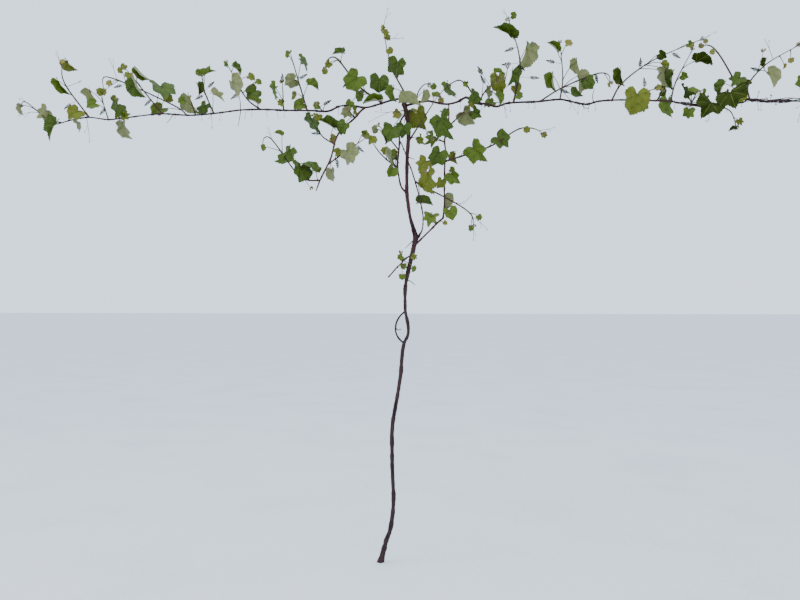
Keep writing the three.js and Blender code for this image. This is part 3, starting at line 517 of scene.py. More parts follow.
def swelling(distance, places, reach, much):
    """A factor above 1 round each place."""
    return 1 + sum(much * np.exp(-((distance - at) / reach) ** 2) for at in places)


def trunk_mesh(heap):
    """The trunk: furrowed, flared at its foot, cut flat at the ground."""
    centres, distance, radius = limb_rings("trunk")
    relief = bark_relief(TRUNK_SEED, distance, TRUNK_SIDES, TRUNK_RELIEF, TRUNK_FURROWS)
    turn = np.linspace(0, 2 * math.pi, TRUNK_SIDES, endpoint=False)
    spread = np.exp(-centres[:, 2] / FLARE_HEIGHT)[:, None]
    flare = FLARE_GIRTH / 2 * spread * (1 + FLARE_LOBING * np.cos(FLARE_LOBES * turn)[None])
    tube(heap, centres, radius[:, None] * relief + flare, TRUNK_SIDES)
    level = np.repeat(centres[:, 2], TRUNK_SIDES)
    kept = np.clip(level / LEVEL_FROM, 0, 1)
    skin = heap.points[-1][: len(level)]
    skin[:, 2] = np.maximum(level + (skin[:, 2] - level) * kept, 0)


def one_year_limb(heap, name, seed, sides, apart):
    """An arm or cane, with swollen nodes and a collar where it leaves its parent."""
    centres, distance, radius = limb_rings(name)
    places = node_places(seed, distance[-1], apart)
    thick = radius * swelling(distance, places, NODE_REACH, NODE_SWELL)
    thick = thick * swelling(distance, [0], COLLAR_REACH, COLLAR_SWELL)
    relief = bark_relief(seed, distance, sides, YOUNG_RELIEF, YOUNG_FURROWS)
    tube(heap, centres, thick[:, None] * relief, sides)
    return places


trunk_heap, arm_heap, cane_heap = Heap(), Heap(), Heap()
trunk_mesh(trunk_heap)
node_rows = {}
for name, (seed, apart) in NODES.items():
    heap, sides = (arm_heap, ARM_SIDES) if "arm" in name else (cane_heap, CANE_SIDES)
    node_rows[name] = one_year_limb(heap, name, seed, sides, apart)
print("nodes on the wood:", sum(len(places) for places in node_rows.values()))

# %% [markdown]
# ## Eye, knob and dead twigs
# Halfway up, the trunk splits round a small eye and joins again; above it, a knob shows where an older
# head was cut. A few bare twigs stick out. They are short tubes whose roots sink into the wood. A boolean
# could weld them on, but it is slow on a furrowed mesh, and a sunk root shows no seam either.

# %% The trunk's extra wood
EYE_STRAND = [
    [106, -93, 880], [85, -96, 901], [75, -98, 922], [74, -98, 945], [80, -97, 968], [96, -94, 992],
    [110, -92, 1004],
]
KNEE_KNOB = [[150, -98, 1288], [163, -98, 1292], [168, -98, 1300]]
TRUNK_TWIGS = [
    [[74, -98, 938], [86, -97, 932], [97, -98, 936]],
    [[117, -92, 1128], [135, -96, 1118], [151, -98, 1104]],
    [[150, -98, 1286], [128, -108, 1262], [112, -114, 1246]],
    [[120, -93, 1603], [134, -97, 1596], [148, -101, 1590]],
]
ARM_TWIGS = [
    [[-545, -100, 1800], [-545, -104, 1832], [-551, -106, 1862]],
    [[-543, -100, 1800], [-550, -97, 1768], [-558, -92, 1736]],
    [[-822, -100, 1790], [-835, -97, 1775], [-852, -95, 1757]],
    [[-212, -100, 1787], [-208, -103, 1800], [-196, -106, 1817]],
    [[824, -100, 1790], [820, -104, 1812], [826, -106, 1842]],
    [[782, -100, 1787], [790, -97, 1772], [806, -97, 1768]],
    [[1375, -100, 1786], [1366, -96, 1798], [1356, -92, 1812]],
]
EYE_GIRTHS, KNOB_GIRTHS = (7, 7), (14, 8)  # at the foot and at the tip
TRUNK_TWIG_GIRTHS, ARM_TWIG_GIRTHS = (4.4, 2.2), (3.8, 1.8)
TWIG_RING_STEP = 2.5
TWIG_RELIEF, TWIG_BUMPS = 0.18, [2, 3]


def twig(heap, points, girths, seed, sides=8):
    """A short bare twig with a few bumps."""
    route = Route(points)
    count = max(int(route.length / TWIG_RING_STEP), 6)
    distance = np.linspace(0, route.length, count)
    radius = np.linspace(*girths, count) / 2
    bumps = bark_relief(seed, distance, sides, TWIG_RELIEF, TWIG_BUMPS)
    tube(heap, route.many(count), radius[:, None] * bumps, sides)


twig(trunk_heap, EYE_STRAND, EYE_GIRTHS, seed=71, sides=12)
twig(trunk_heap, KNEE_KNOB, KNOB_GIRTHS, seed=72, sides=14)
for seed, points in enumerate(TRUNK_TWIGS, 73):
    twig(trunk_heap, points, TRUNK_TWIG_GIRTHS, seed)
for seed, points in enumerate(ARM_TWIGS, 80):
    twig(arm_heap, points, ARM_TWIG_GIRTHS, seed)
print("twigs:", len(TRUNK_TWIGS) + len(ARM_TWIGS))

# %% [markdown]
# ## Buds on the wood
# At a node sits a bud in its scales, or the stump of one: a small pointed cone that leans along the limb.
# They stand on alternate sides, as leaves do on a vine. A squeezed sphere would have no point, so a bud is
# a tube of four rings with its own profile.

# %% Buds
BUD_PROFILE = [(0.0, 1.0), (0.35, 1.1), (0.7, 0.75), (1.0, 0.25)]  # share of its length, and of its girth
BUD_SIDES = 7
BUD_LENGTH, BUD_GIRTH = 6, 4
BUD_BEARINGS = (40, 140)  # degrees round the limb
BUD_SUNK = 0.8  # its foot sits this far out, against the limb's radius
BUD_LEAN = 0.7
BUD_SEED = 90


def bud(heap, foot, way, length, girth, kind=0):
    """A small pointed bud: rings along a short line."""
    centres = np.array([foot + way * length * share for share, _ in BUD_PROFILE])
    tube(heap, centres, [girth / 2 * wide for _, wide in BUD_PROFILE], BUD_SIDES, kind)


def buds_on(heap, name, places, seed):
    """Buds on alternate sides of a limb."""
    draw = seeded(seed)
    centres, distance, radius = limb_lines[name]
    across, over = rings(centres)
    for number, at in enumerate(places):
        i = int(np.searchsorted(distance, at))
        bearing = math.radians(between(draw, *BUD_BEARINGS)) + math.pi * (number % 2)
        out = across[i] * math.cos(bearing) + over[i] * math.sin(bearing)
        along = unit(centres[min(i + 1, len(centres) - 1)] - centres[i - 1])
        foot = centres[i] + out * radius[i] * BUD_SUNK
        bud(heap, foot, unit(out + along * BUD_LEAN), BUD_LENGTH, BUD_GIRTH)


for seed, (name, places) in enumerate(node_rows.items(), BUD_SEED):
    buds_on(arm_heap if "arm" in name else cane_heap, name, places, seed)
print("buds:", sum(len(places) for places in node_rows.values()))

# %% [markdown]
# ## Peeling strips
# Old vine bark comes off in strips that hold at one end and curl away at the other. Each strip is a thin
# ribbon that starts on the trunk's skin, follows it, and lifts off. They are geometry, because their
# ragged edges are what makes a vine trunk look like one.

# %% Bark strips
STRIPS = {"trunk": 150, "left_arm": 34, "right_arm": 34}
STRIP_THICK = 0.35
STRIP_WIDTHS = (0.8, 2.6)
STRIP_LIFTS = (0.4, 3.8)
STRIP_RINGS, TRUNK_STRIP_RINGS = (4, 8), (4, 15)  # how many rings a strip passes
STRIP_SUNK = 0.98  # its held end starts just under the skin
STRIP_TWIST = 0.25
STRIP_NARROWS = 0.6
UPWARD_SHARE = 0.4
STRIPS_FROM, STRIPS_TO = 6, 4  # rings at both ends of a limb that stay free of strips


def strip(heap, draw, centres, radius, across, over, first, count, turn):
    """A ribbon over rings first to first + count, lifting off towards one end."""
    width = between(draw, *STRIP_WIDTHS)
    lift = between(draw, *STRIP_LIFTS)
    upward = draw() < UPWARD_SHARE
    rows = []
    for step in range(count + 1):
        share = step / count
        i = first + step
        free = share if upward else 1 - share
        angle = turn + STRIP_TWIST * math.sin(share * 3)
        out = across[i] * math.cos(angle) + over[i] * math.sin(angle)
        aside = -across[i] * math.sin(angle) + over[i] * math.cos(angle)
        middle = centres[i] + out * (radius[i] * STRIP_SUNK + lift * free**2)
        half = aside * width / 2 * (1 - STRIP_NARROWS * free)
        skin = out * STRIP_THICK
        rows += [middle - half, middle + half, middle + half + skin, middle - half + skin]
    faces = []
    for step in range(count):
        low, high = 4 * step, 4 * step + 4
        for side in range(4):
            after = (side + 1) % 4
            faces.append([low + side, low + after, high + after, high + side])
    top = 4 * count
    faces += [[3, 2, 1, 0], [top, top + 1, top + 2, top + 3]]
    heap.add(rows, faces, 0)


strip_heap = Heap()
strip_draw = seeded(404)
for name, wanted in STRIPS.items():
    centres, _, radius = limb_lines[name]
    across, over = rings(centres)
    for _ in range(wanted):
        count = int(between(strip_draw, *(TRUNK_STRIP_RINGS if name == "trunk" else STRIP_RINGS)))
        first = int(between(strip_draw, STRIPS_FROM, len(centres) - count - STRIPS_TO))
        turn = between(strip_draw, 0, 2 * math.pi)
        strip(strip_heap, strip_draw, centres, radius, across, over, first, count, turn)
print("strips of bark:", sum(STRIPS.values()))

# %% [markdown]
# ## One grape leaf
# A young grape leaf has three shoulders and two low ones, teeth all round, a narrow notch where the stalk
# joins, and five main veins that spread from there. Its halves rise from the midrib and its tip hangs. It
# is made as a fan of columns from the stalk's end to the rim. An image on a flat card would be lighter,
# but its rim and veins would vanish from close by, and the felted underside could not differ.

# %% The leaf's outline
LOBES = [(0, 1.0), (27, 0.87), (52, 0.98), (84, 0.88), (114, 0.94), (150, 0.8)]  # degrees, and reach
BAYS = (1, 3)
VEIN_LOBES = (0, 2, 4)
TOOTH_SIZES = (0.014, 0.042)
BAY_DEPTH = 0.34  # a leaf's bays may be this much deeper than its kind's
REACH_PER_WIDTH = 0.62
NOTCH_REACH = 0.25
RIM_SPREAD = (0.93, 1.07)
LOBE_SHARPNESS = 1.25  # above 1, lobes are pointed and the bays between them round
SINUS_BEND = (-0.52, 0.06)
SINUS_SHARES = (0.35, 0.65, 0.88)


def half_outline(reaches, draw, steps):
    """Points from the tip round to the notch, for one half, and which of them end a main vein."""
    points, veins = [], []
    for number in range(len(LOBES) - 1):
        (start, _), (end, _) = LOBES[number], LOBES[number + 1]
        first, second = reaches[number], reaches[number + 1]
        if number in VEIN_LOBES:
            veins.append(len(points))
        count = steps[number]
        for step in range(count):
            share = step / count
            low, high = min(first, second), max(first, second)
            rise = (1 - share) if first > second else share
            reach = low + (high - low) * rise**LOBE_SHARPNESS
            tooth = between(draw, *TOOTH_SIZES) * (1 if len(points) % 2 == 0 else -1)
            angle = math.radians(start + (end - start) * share)
            points.append(((reach + tooth) * math.cos(angle), (reach + tooth) * math.sin(angle)))
    last = math.radians(LOBES[-1][0])
    base = np.array([reaches[-1] * math.cos(last), reaches[-1] * math.sin(last)])
    points.append(tuple(base))
    notch, bend = np.array([-NOTCH_REACH, 0.0]), np.array(SINUS_BEND)
    for share in SINUS_SHARES:
        points.append(tuple(base * (1 - share) ** 2 + bend * 2 * share * (1 - share) + notch * share**2))
    return points, veins


FINE_STEPS = (6, 6, 8, 6, 6)  # teeth from one lobe or bay to the next
PLAIN_STEPS = (4, 2, 2, 4, 2)
outline, vein_ends = half_outline([reach for _, reach in LOBES], seeded(1), FINE_STEPS)
print("half an outline has", len(outline), "points, with veins to", vein_ends)

# %% [markdown]
# ## From an outline to a fan
# A column of points runs from the stalk's end to each point of the rim, and a main vein takes two columns,
# which leave a narrow strip for it. Every lobe differs a little from leaf to leaf, and a few leaves have
# deep bays. One big face would fill the outline too, but it couldn't bend.

# %% The leaf's fan
SHARES_FINE = (0.1, 0.26, 0.44, 0.62, 0.8, 0.93, 1.0)
SHARES_PLAIN = (0.2, 0.5, 0.8, 1.0)
VEIN_WIDTH, VEIN_START, VEIN_TAPER = 0.016, 1.05, 0.85
VEIN_FAN = 0.09  # keeps the veins apart where they meet at the stalk


def leaf_columns(draw, fine):
    """The rim all round, from notch to notch, as (forward, sideways, does a main vein end there)."""
    spread = [between(draw, *RIM_SPREAD) for _ in range(2 * len(LOBES) - 1)]
    deeper = 1 - BAY_DEPTH * draw() ** 3  # the power makes deep bays rare
    reaches = [reach * (deeper if i in BAYS else 1) for i, (_, reach) in enumerate(LOBES)]
    left = [reach * spread[i] for i, reach in enumerate(reaches)]
    right = [left[0]] + [reach * spread[-i] for i, reach in enumerate(reaches) if i]
    steps = FINE_STEPS if fine else PLAIN_STEPS
    near, veins = half_outline(left, draw, steps)
    far, _ = half_outline(right, draw, steps)
    columns = [(far[i][0], -far[i][1], i in veins) for i in range(len(far) - 1, 0, -1)]
    return columns + [(forward, sideways, i in veins) for i, (forward, sideways) in enumerate(near)]


def leaf_grid(columns, shares):
    """Flat points of the fan, one row for each column and one point for each share of its way out."""
    notch = np.array([-NOTCH_REACH, 0.0])
    shares = np.array(shares)[:, None]
    grid, vein_strips = [], []
    for forward, sideways, vein in columns:
        way = np.array([forward, sideways]) - notch
        line = notch + way * shares
        if not vein:
            grid.append(line)
            continue
        aside = np.array([-way[1], way[0]]) / np.linalg.norm(way)
        half = np.minimum(VEIN_WIDTH * (VEIN_START - VEIN_TAPER * shares), VEIN_FAN * shares)
        vein_strips.append(len(grid))
        grid += [line - aside * half, line + aside * half]
    return np.array(grid), vein_strips


fan, fan_veins = leaf_grid(leaf_columns(seeded(4), fine=True), SHARES_FINE)
print("a large leaf's fan has", len(fan), "columns and", len(fan_veins), "veins")

# %% [markdown]
# ## From a fan to a blade
# A real blade is about a third of a millimetre thick and never flat: its halves fold up along the midrib,
# its lobes hang, and it puckers between the veins. The fan is bent by formulas, which costs nothing and
# gives the same leaf each time; a cloth simulation of every leaf would take minutes. Top and underside are
# split into the same triangles, or one would poke through the other where the blade twists.

# %% The leaf's blade
LEAF_THICK = 0.35
SMALL_LEAF = 30
DROOPS = (0.1, 0.35)
CREASE = 0.04  # roundness of the fold along the midrib
PUCKERS = ((3, 0.03), (5, 0.025), (9, 0.014))  # waves round the leaf, and their height
PUCKER_SPREAD = (0.5, 1.3)
QUILTING, QUILTS_ROUND, QUILTS_OUT = 0.009, 2.1, 9.0
VEIN_SUNK, VEIN_RISES = 0.014, 0.7  # veins lie in grooves that grow shallow towards the rim
DRAPE = (0.04, 0.26)  # how far a lobe's end hangs below the bays beside it
LOBE_APART = 45  # degrees between lobes, seen from where the stalk joins
TOP, UNDERSIDE, VEIN, UNDER_VEIN = 0, 1, 2, 3


def blade(heap, draw, notch, up, ahead, reach, kinds, fold, droop=None):
    """One leaf blade. `kinds` are the finishes of its top, underside, veins and veins underneath."""
    droop = between(draw, *DROOPS) if droop is None else droop
    fine = reach > SMALL_LEAF * REACH_PER_WIDTH
    shares = SHARES_FINE if fine else SHARES_PLAIN
    grid, strips = leaf_grid(leaf_columns(draw, fine), shares)
    forward, sideways = grid[..., 0], grid[..., 1]
    out = np.array(shares)[None]
    waves = seeded(draw() * SEED_RANGE)
    bearing = np.arctan2(sideways, forward + NOTCH_REACH)
    slope = math.atan(fold)
    crease = np.hypot(sideways, CREASE) - CREASE
    rise = math.sin(slope) * crease - droop * np.maximum(forward, 0) * forward
    sideways = sideways * math.cos(slope)
    for number, height in PUCKERS:
        phase = between(waves, 0, 2 * math.pi)
        rise = rise + height * between(waves, *PUCKER_SPREAD) * out**2 * np.sin(number * bearing + phase)
    drape = between(waves, *DRAPE)
    rise = rise - drape * out**2 * (1 + np.cos(360 / LOBE_APART * bearing)) / 2
    quilts = np.sin(np.arange(len(grid)) * QUILTS_ROUND)[:, None] * np.sin(out * QUILTS_OUT)
    rise = rise + QUILTING * quilts * (1 - out**4)
    for column in strips:
        rise[column : column + 2] -= VEIN_SUNK * (1 - VEIN_RISES * out)
    centre = notch + ahead * NOTCH_REACH * reach
    side = np.cross(ahead, up)
    flat = centre + reach * (forward[..., None] * ahead + sideways[..., None] * side + rise[..., None] * up)
    count, depth = grid.shape[:2]
    top = np.concatenate([flat.reshape(-1, 3), [notch]])
    under = top - up * LEAF_THICK
    start, offset = count * depth, len(top)
    faces, face_kinds = [], []

    def at(column, ring):
        """The point's number, where a ring before the first is the stalk's end."""
        return column * depth + ring if ring >= 0 else start

    for column in range(count - 1):
        vein = column in strips
        for ring in range(-1, depth - 1):
            beyond = column + 1
            corners = [at(column, ring), at(column, ring + 1), at(beyond, ring + 1), at(beyond, ring)]
            corners = [corner for i, corner in enumerate(corners) if corner != corners[i - 1]]
            for last in range(2, len(corners)):
                half = [corners[0], corners[last - 1], corners[last]]
                faces += [half, [corner + offset for corner in reversed(half)]]
                face_kinds += [kinds[VEIN if vein else TOP], kinds[UNDER_VEIN if vein else UNDERSIDE]]
    rim = [start] + [at(0, ring) for ring in range(depth)] + [at(c, depth - 1) for c in range(1, count)]
    rim += [at(count - 1, ring) for ring in range(depth - 2, -1, -1)]
    for i, corner in enumerate(rim):
        before = rim[i - 1]
        faces.append([before, corner, corner + offset, before + offset][::-1])
        face_kinds.append(kinds[UNDERSIDE])
    heap.add(np.concatenate([top, under]), faces, face_kinds)


trial = Heap()
blade(trial, seeded(4), np.zeros(3), np.array([0, 0, 1.0]), np.array([1.0, 0, 0]), 40, range(4), fold=0.3)
print("a large leaf has", sum(len(face) - 2 for face in trial.faces), "triangles")

# %% [markdown]
# ## How a leaf hangs
# Each leaf's row says where its middle is and how wide and high it looks. Its real width is the larger of
# the two, so a leaf that looks narrow must be turned away. The rule turns the blade until it shows that
# shape, points its tip along the stalk, and lets it hang a little more the larger it is. Three angles for
# each leaf would allow more, but one view of the vine can't give them.

# %% A leaf's attitude
OVER, UNDER = "over", "under"  # the side of a leaf that the view shows
SLIMMEST = 0.35
NARROW = 0.72
FOLDED_OF_NARROW, FOLDED_OF_WIDE = 0.6, 0.12
OPEN_FOLD = (0.15, 0.5)
SHUT = 0.8  # beyond this slope a leaf counts as folded
EXTRA_FOLD = math.radians(8)
STALK_PULL, DROOP_PULL, WEIGHT_PULL = 0.8, 0.35, 0.01
TURN_SPREAD = 0.2


def turned(vector, axis, angle):
    """The vector, turned about an axis."""
    axis = unit(axis)
    across = np.cross(axis, vector)
    kept = axis * axis.dot(vector) * (1 - math.cos(angle))
    return vector * math.cos(angle) + across * math.sin(angle) + kept


def half_shown(shown):
    """How far a folded leaf's nearer half is turned from the view, to look this narrow."""
    return math.acos(min(2 * max(shown, SLIMMEST), 1))


def leaf_fold(draw, width, height):
    """How steeply a blade's halves rise. A leaf that looks narrow is often a folded one."""
    shown = min(width, height) / max(width, height)
    folded = draw() < (FOLDED_OF_NARROW if shown < NARROW else FOLDED_OF_WIDE)
    if not folded:
        return between(draw, *OPEN_FOLD)
    return math.tan(math.pi / 4 + half_shown(shown) / 2 + between(draw, 0, EXTRA_FOLD))


def attitude(draw, middle, node, width, height, face, fold, tilt=0):
    """Which way a blade's top looks and its tip points, tilted clockwise in the view."""
    sight = unit(middle - EYE)
    level = unit(np.cross(sight, [0, 0, 1.0]))
    upright = np.cross(level, sight)
    up = sight if face == UNDER else -sight
    slope = math.atan(fold)
    shown = max(min(width, height) / max(width, height), SLIMMEST)
    turn = math.acos(min(shown / math.cos(slope), 1)) + between(draw, 0, TURN_SPREAD)
    ahead = unit(middle - node) * STALK_PULL
    ahead[2] -= DROOP_PULL + WEIGHT_PULL * max(width, height)
    if fold > SHUT:
        turn = slope - half_shown(shown)
        length = upright if height >= width else level
        ahead = length if ahead.dot(length) > 0 else -length
    if height >= width:
        up = turned(up, upright, turn if draw() < 0.5 else -turn)
    else:
        up = turned(up, level, turn if face == UNDER else -turn)
    up, ahead = (turned(way, sight, math.radians(tilt)) for way in (up, ahead))
    return up, unit(ahead - up * ahead.dot(up))


trial_middle, trial_node = np.array([200.0, -90, 1850]), np.array([200.0, -90, 1800])
trial_look, _ = attitude(seeded(2), trial_middle, trial_node, 60, 60, OVER, 0.3)
print("a square leaf at the head looks towards", trial_look.round(2))

# %% [markdown]
# ## Which green
# Old leaves at a shoot's foot are deep green, those above them paler, and the ones at the tip yellow green
# with a touch of pink. Undersides wear a pale felt. Towards the right end of the vine most leaves get a
# darker top with hardly any gloss. That is painted shade over that end of the foliage, not a green of their
# own. Colours that belong to a place are dealt out leaf by leaf as plain finishes, since a pattern painted
# over a heap of leaves would not follow them.

# %% Dealing out finishes
DEEP, FRESH, OLIVE, YOUNG, FELT, YOUNG_FELT, PALE_VEIN, FELT_VEIN, SHADED_LEAF = range(9)
# Painted shade: past this x, leaves get a darker, duller top that stands for shade, not for their own
# green.
SHADE_BEYOND = 1050  # past this x some of the foliage is darker
SHADED_SHARE = 0.55
TIP_LEAF, HALF_GROWN, BIG_LEAF = 24, 44, 75  # widths in mm
HALF_GROWN_TOPS = ((0.45, FRESH), (0.85, OLIVE), (1, YOUNG))  # each up to a share of the leaves
GROWN_TOPS = ((0.5, DEEP), (0.85, FRESH), (1, OLIVE))
YOUNG_FELT_SHARE = 0.3


def leaf_kinds(draw, size, x=0):
    """Finishes for top, underside, vein and underside vein, by the leaf's age and place; past one x the top
    is painted shade.
    """
    pick = draw()
    # Painted shade: at the right end many leaves, and every big one, get the darker top; underside and
    # veins stay as they are.
    if x > SHADE_BEYOND and size >= SMALL_LEAF and (size > BIG_LEAF or draw() < SHADED_SHARE):
        return (SHADED_LEAF, FELT, PALE_VEIN, FELT_VEIN)
    if size < TIP_LEAF:
        return (YOUNG, YOUNG_FELT, YOUNG, YOUNG_FELT)
    tops = HALF_GROWN_TOPS if size < HALF_GROWN else GROWN_TOPS
    top = next(finish for share, finish in tops if pick < share)
    under = YOUNG_FELT if size < HALF_GROWN and pick < YOUNG_FELT_SHARE else FELT
    return (top, under, PALE_VEIN, FELT_VEIN)


print("a 60 mm leaf wears finishes", leaf_kinds(seeded(9), 60))

# %% [markdown]
# ## Small green things
# Leaf stalks bend from the stem to the blade, and they are often redder than the stem. Tendrils fork and
# end in a coil. Both are thin, so tubes of five or six sides are enough. A curve object with a bevel would
# make them too, but each would be an object of its own, and there are hundreds.

# %% Stalks and tendrils
RED_STALK, GREEN_STALK = 0, 1
RED_STALK_SHARE = 0.6
STALK_FOOT, STALK_TIP = 1.8, 1.1
STALK_COLLAR = 1.5  # how much thicker it is where it leaves the stem
STALK_LIFTS = (0.02, 0.12)
STALK_GRIP = 1.2  # it runs on into the blade this far, so that no gap shows
STALK_STRAIGHT, STRAIGHT_SHARE = 2.0, 0.1  # its straight end before the blade, in mm and as a share
STALK_RING_STEP, STALK_SIDES = 6, 6


def stalk(heap, draw, node, notch, ahead):
    """A leaf stalk that leaves the stem, bends, and meets the blade in its own plane."""
    reach = np.linalg.norm(notch - node)
    lift = np.array([0, 0, reach * between(draw, *STALK_LIFTS)])
    before, behind = notch - ahead * min(STALK_STRAIGHT, reach * STRAIGHT_SHARE), notch + ahead * STALK_GRIP
    route = Route([node, (node + notch) / 2 + lift, before, behind])
    count = max(5, int(reach / STALK_RING_STEP))
    radius = STALK_FOOT + (STALK_TIP - STALK_FOOT) * np.linspace(0, 1, count + 1) ** 0.5
    radius[0] *= STALK_COLLAR
    kind = RED_STALK if draw() < RED_STALK_SHARE else GREEN_STALK
    tube(heap, route.many(count + 1), radius, STALK_SIDES, kind)


COIL_TURNS, COIL_STEPS = (1.0, 2.4), 9
COIL_PITCH, COIL_TIGHTENS, COIL_THINS = 0.9, 0.45, 0.5
COIL_ASIDE = (0.3, 1.0, 0.2)  # a way that no tendril points, from which one across its end is found
GREEN_TENDRIL, DRY_TENDRIL = 0, 1


def curl(draw, end, way, thick, size):
    """Centres and radii of the coil at a tendril's end."""
    turns = between(draw, *COIL_TURNS)
    count = int(turns * COIL_STEPS)
    across = unit(np.cross(way, COIL_ASIDE))
    over = np.cross(way, across)
    spin = 1 if draw() < 0.5 else -1
    centres, radii = [], []
    for step in range(1, count + 1):
        share = step / count
        angle = spin * share * turns * 2 * math.pi
        wide = size * (1 - COIL_TIGHTENS * share)
        centre = end + way * (size * COIL_PITCH * turns * share) + over * wide * (1 - math.cos(angle))
        centres.append(centre + across * wide * math.sin(angle))
        radii.append(thick * (1 - COIL_THINS * share))
    return centres, radii


TENDRIL_RADII, FORK_RADII = (1.1, 0.7), (0.8, 0.7, 0.6, 0.52)
TENDRIL_COIL_RADIUS, FORK_COIL_RADIUS = 0.55, 0.45
LARGEST_COIL, COIL_SHARE = 4.5, 0.08
TENDRIL_RING_STEP, TENDRIL_SIDES = 5, 5
DEPTHWISE = (0.1, 1, 0.1)  # nearly straight away from the view
FORK_AT, FORK_SHARES, FORK_COIL_SHARE = 0.5, (0, 0.3, 0.6, 1), 0.7
FORK_SWING, FORK_REACHES, FORK_RISE = 0.9, (0.2, 0.38), 0.12


def tendril(heap, draw, points, kind):
    """A forked tendril along the points, with a coil at each end."""
    route = Route(points)
    count = max(6, int(route.length / TENDRIL_RING_STEP))
    centres = list(route.many(count))
    radii = list(np.linspace(*TENDRIL_RADII, count))
    way = unit(centres[-1] - centres[-2])
    size = min(LARGEST_COIL, route.length * COIL_SHARE)
    tail, tail_radii = curl(draw, centres[-1], way, TENDRIL_COIL_RADIUS, size)
    tube(heap, centres + tail, radii + tail_radii, TENDRIL_SIDES, kind)
    fork = int(count * FORK_AT)
    onward = unit(centres[fork] - centres[fork - 1])
    swing = turned(onward, np.array(DEPTHWISE), between(draw, -FORK_SWING, FORK_SWING))
    reach = route.length * between(draw, *FORK_REACHES)
    rise = np.array([0, 0, reach * FORK_RISE])
    arm = [centres[fork] + swing * reach * share + rise * share**2 for share in FORK_SHARES]
    tail, tail_radii = curl(draw, arm[-1], swing, FORK_COIL_RADIUS, size * FORK_COIL_SHARE)
    tube(heap, arm + tail, list(FORK_RADII) + tail_radii, TENDRIL_SIDES, kind)


print("stalks taper from", 2 * STALK_FOOT, "to", 2 * STALK_TIP, "mm")

# %% [markdown]
# ## Flower buds
# In late spring the sprays are still closed: dozens of green beads on short stems round one axis, widest
# near the foot. The beads follow the golden angle, so that no two stand in line, and each is a small solid
# of twenty faces, worked out from its corners. Round spheres would cost twenty times the faces.

# %% Flower sprays
CLUSTER_LENGTH = 36.0
CLUSTER_GIRTH = 13.0
BEADS = 72
BEAD_RADII = (1.1, 1.8)
BEAD_OUT, BEAD_UP = (0.55, 1.05), (0, 2)
DARK_BEAD_SHARE = 0.45
AXIS_RINGS, AXIS_RADII, AXIS_SIDES = 14, (0.9, 0.45), 6
AXIS_BEND = (0.7, 0.3)  # shares of the neck's and the node's places in its bend
AXIS_TO = 0.48  # how far it runs on past the middle, against the spray's length
SPRAY_ASIDE = (0.2, 0.9, 0.4)
SWELL_RATE, SWELL_START, SWELL_POWER = 1.1, 0.12, 0.8
SLIM, SWELLS_BY, BEADS_INSIDE = 0.35, 0.9, 0.85
BEADS_FROM, BEADS_OVER = 0.04, 0.92
BEAD_STEM_RADII, BEAD_STEM_SIDES, BEAD_STEM_BOW = (0.35, 0.3, 0.25), 4, 0.3
GOLDEN_ANGLE = math.radians(137.5)
GOLDEN = (1 + 5**0.5) / 2
BEAD_POINTS = np.array(
    [(0, s, t * GOLDEN) for s in (-1, 1) for t in (-1, 1)]
    + [(s, t * GOLDEN, 0) for s in (-1, 1) for t in (-1, 1)]
    + [(t * GOLDEN, 0, s) for s in (-1, 1) for t in (-1, 1)]
) / math.hypot(1, GOLDEN)
BEAD_EDGE = 2 / math.hypot(1, GOLDEN)


def bead_faces():
    """The twenty faces of the bead: every three points that all lie one edge apart."""
    apart = np.linalg.norm(BEAD_POINTS[:, None] - BEAD_POINTS[None], axis=2)
    near = np.abs(apart - BEAD_EDGE) < 0.01
    faces = []
    for a in range(12):
        for b in range(a + 1, 12):
            for c in range(b + 1, 12):
                if near[a, b] and near[b, c] and near[a, c]:
                    normal = np.cross(BEAD_POINTS[b] - BEAD_POINTS[a], BEAD_POINTS[c] - BEAD_POINTS[a])
                    faces.append([a, b, c] if normal.dot(BEAD_POINTS[a]) > 0 else [a, c, b])
    return faces


BEAD_FACES = bead_faces()
STEM_KIND, BEAD_KIND, DARK_BEAD_KIND = 0, 1, 2


def spray_width(share):
    """How far the beads reach from the axis at a share of its length, widest near the foot."""
    swell = math.sin(math.pi * min(share * SWELL_RATE + SWELL_START, 1)) ** SWELL_POWER
    return CLUSTER_GIRTH / 2 * (SLIM + SWELLS_BY * swell) * BEADS_INSIDE


def cluster(heap, draw, node, middle):
    """A spray of flower buds round the place `middle`, carried from `node`."""
    reach = middle - node
    way = unit(reach) if np.linalg.norm(reach) > 1 else np.array([0, 0, 1.0])
    neck = middle - way * CLUSTER_LENGTH / 2
    bend = neck * AXIS_BEND[0] + node * AXIS_BEND[1]
    axis = Route([node, bend, neck, middle, middle + way * CLUSTER_LENGTH * AXIS_TO])
    tube(heap, axis.many(AXIS_RINGS), np.linspace(*AXIS_RADII, AXIS_RINGS), AXIS_SIDES, STEM_KIND)
    across = unit(np.cross(way, SPRAY_ASIDE))
    over = np.cross(way, across)
    for number in range(BEADS):
        share = (number + 0.5) / BEADS
        wide = spray_width(share)
        angle = number * GOLDEN_ANGLE
        out = across * math.cos(angle) + over * math.sin(angle)
        foot = neck + way * CLUSTER_LENGTH * (BEADS_FROM + BEADS_OVER * share)
        centre = foot + out * wide * between(draw, *BEAD_OUT) + way * between(draw, *BEAD_UP)
        bow = (foot + centre) / 2 + way * BEAD_STEM_BOW
        tube(heap, [foot, bow, centre], BEAD_STEM_RADII, BEAD_STEM_SIDES, STEM_KIND)
        size = between(draw, *BEAD_RADII)
        kind = DARK_BEAD_KIND if draw() < DARK_BEAD_SHARE else BEAD_KIND
        heap.add(centre + BEAD_POINTS * size, BEAD_FACES, kind)


print("a bead has", len(BEAD_FACES), "faces")

# %% [markdown]
# ## Stems and growing tips
# A young stem is flushed with red at its foot, green along its middle and pale at its tip, which is only
# days old and crowded with folded leaflets. It swells at every node. The three tints go to stretches of
# the tube, as the finishes go to leaves. A colour ramp would need a mapping along each single stem.

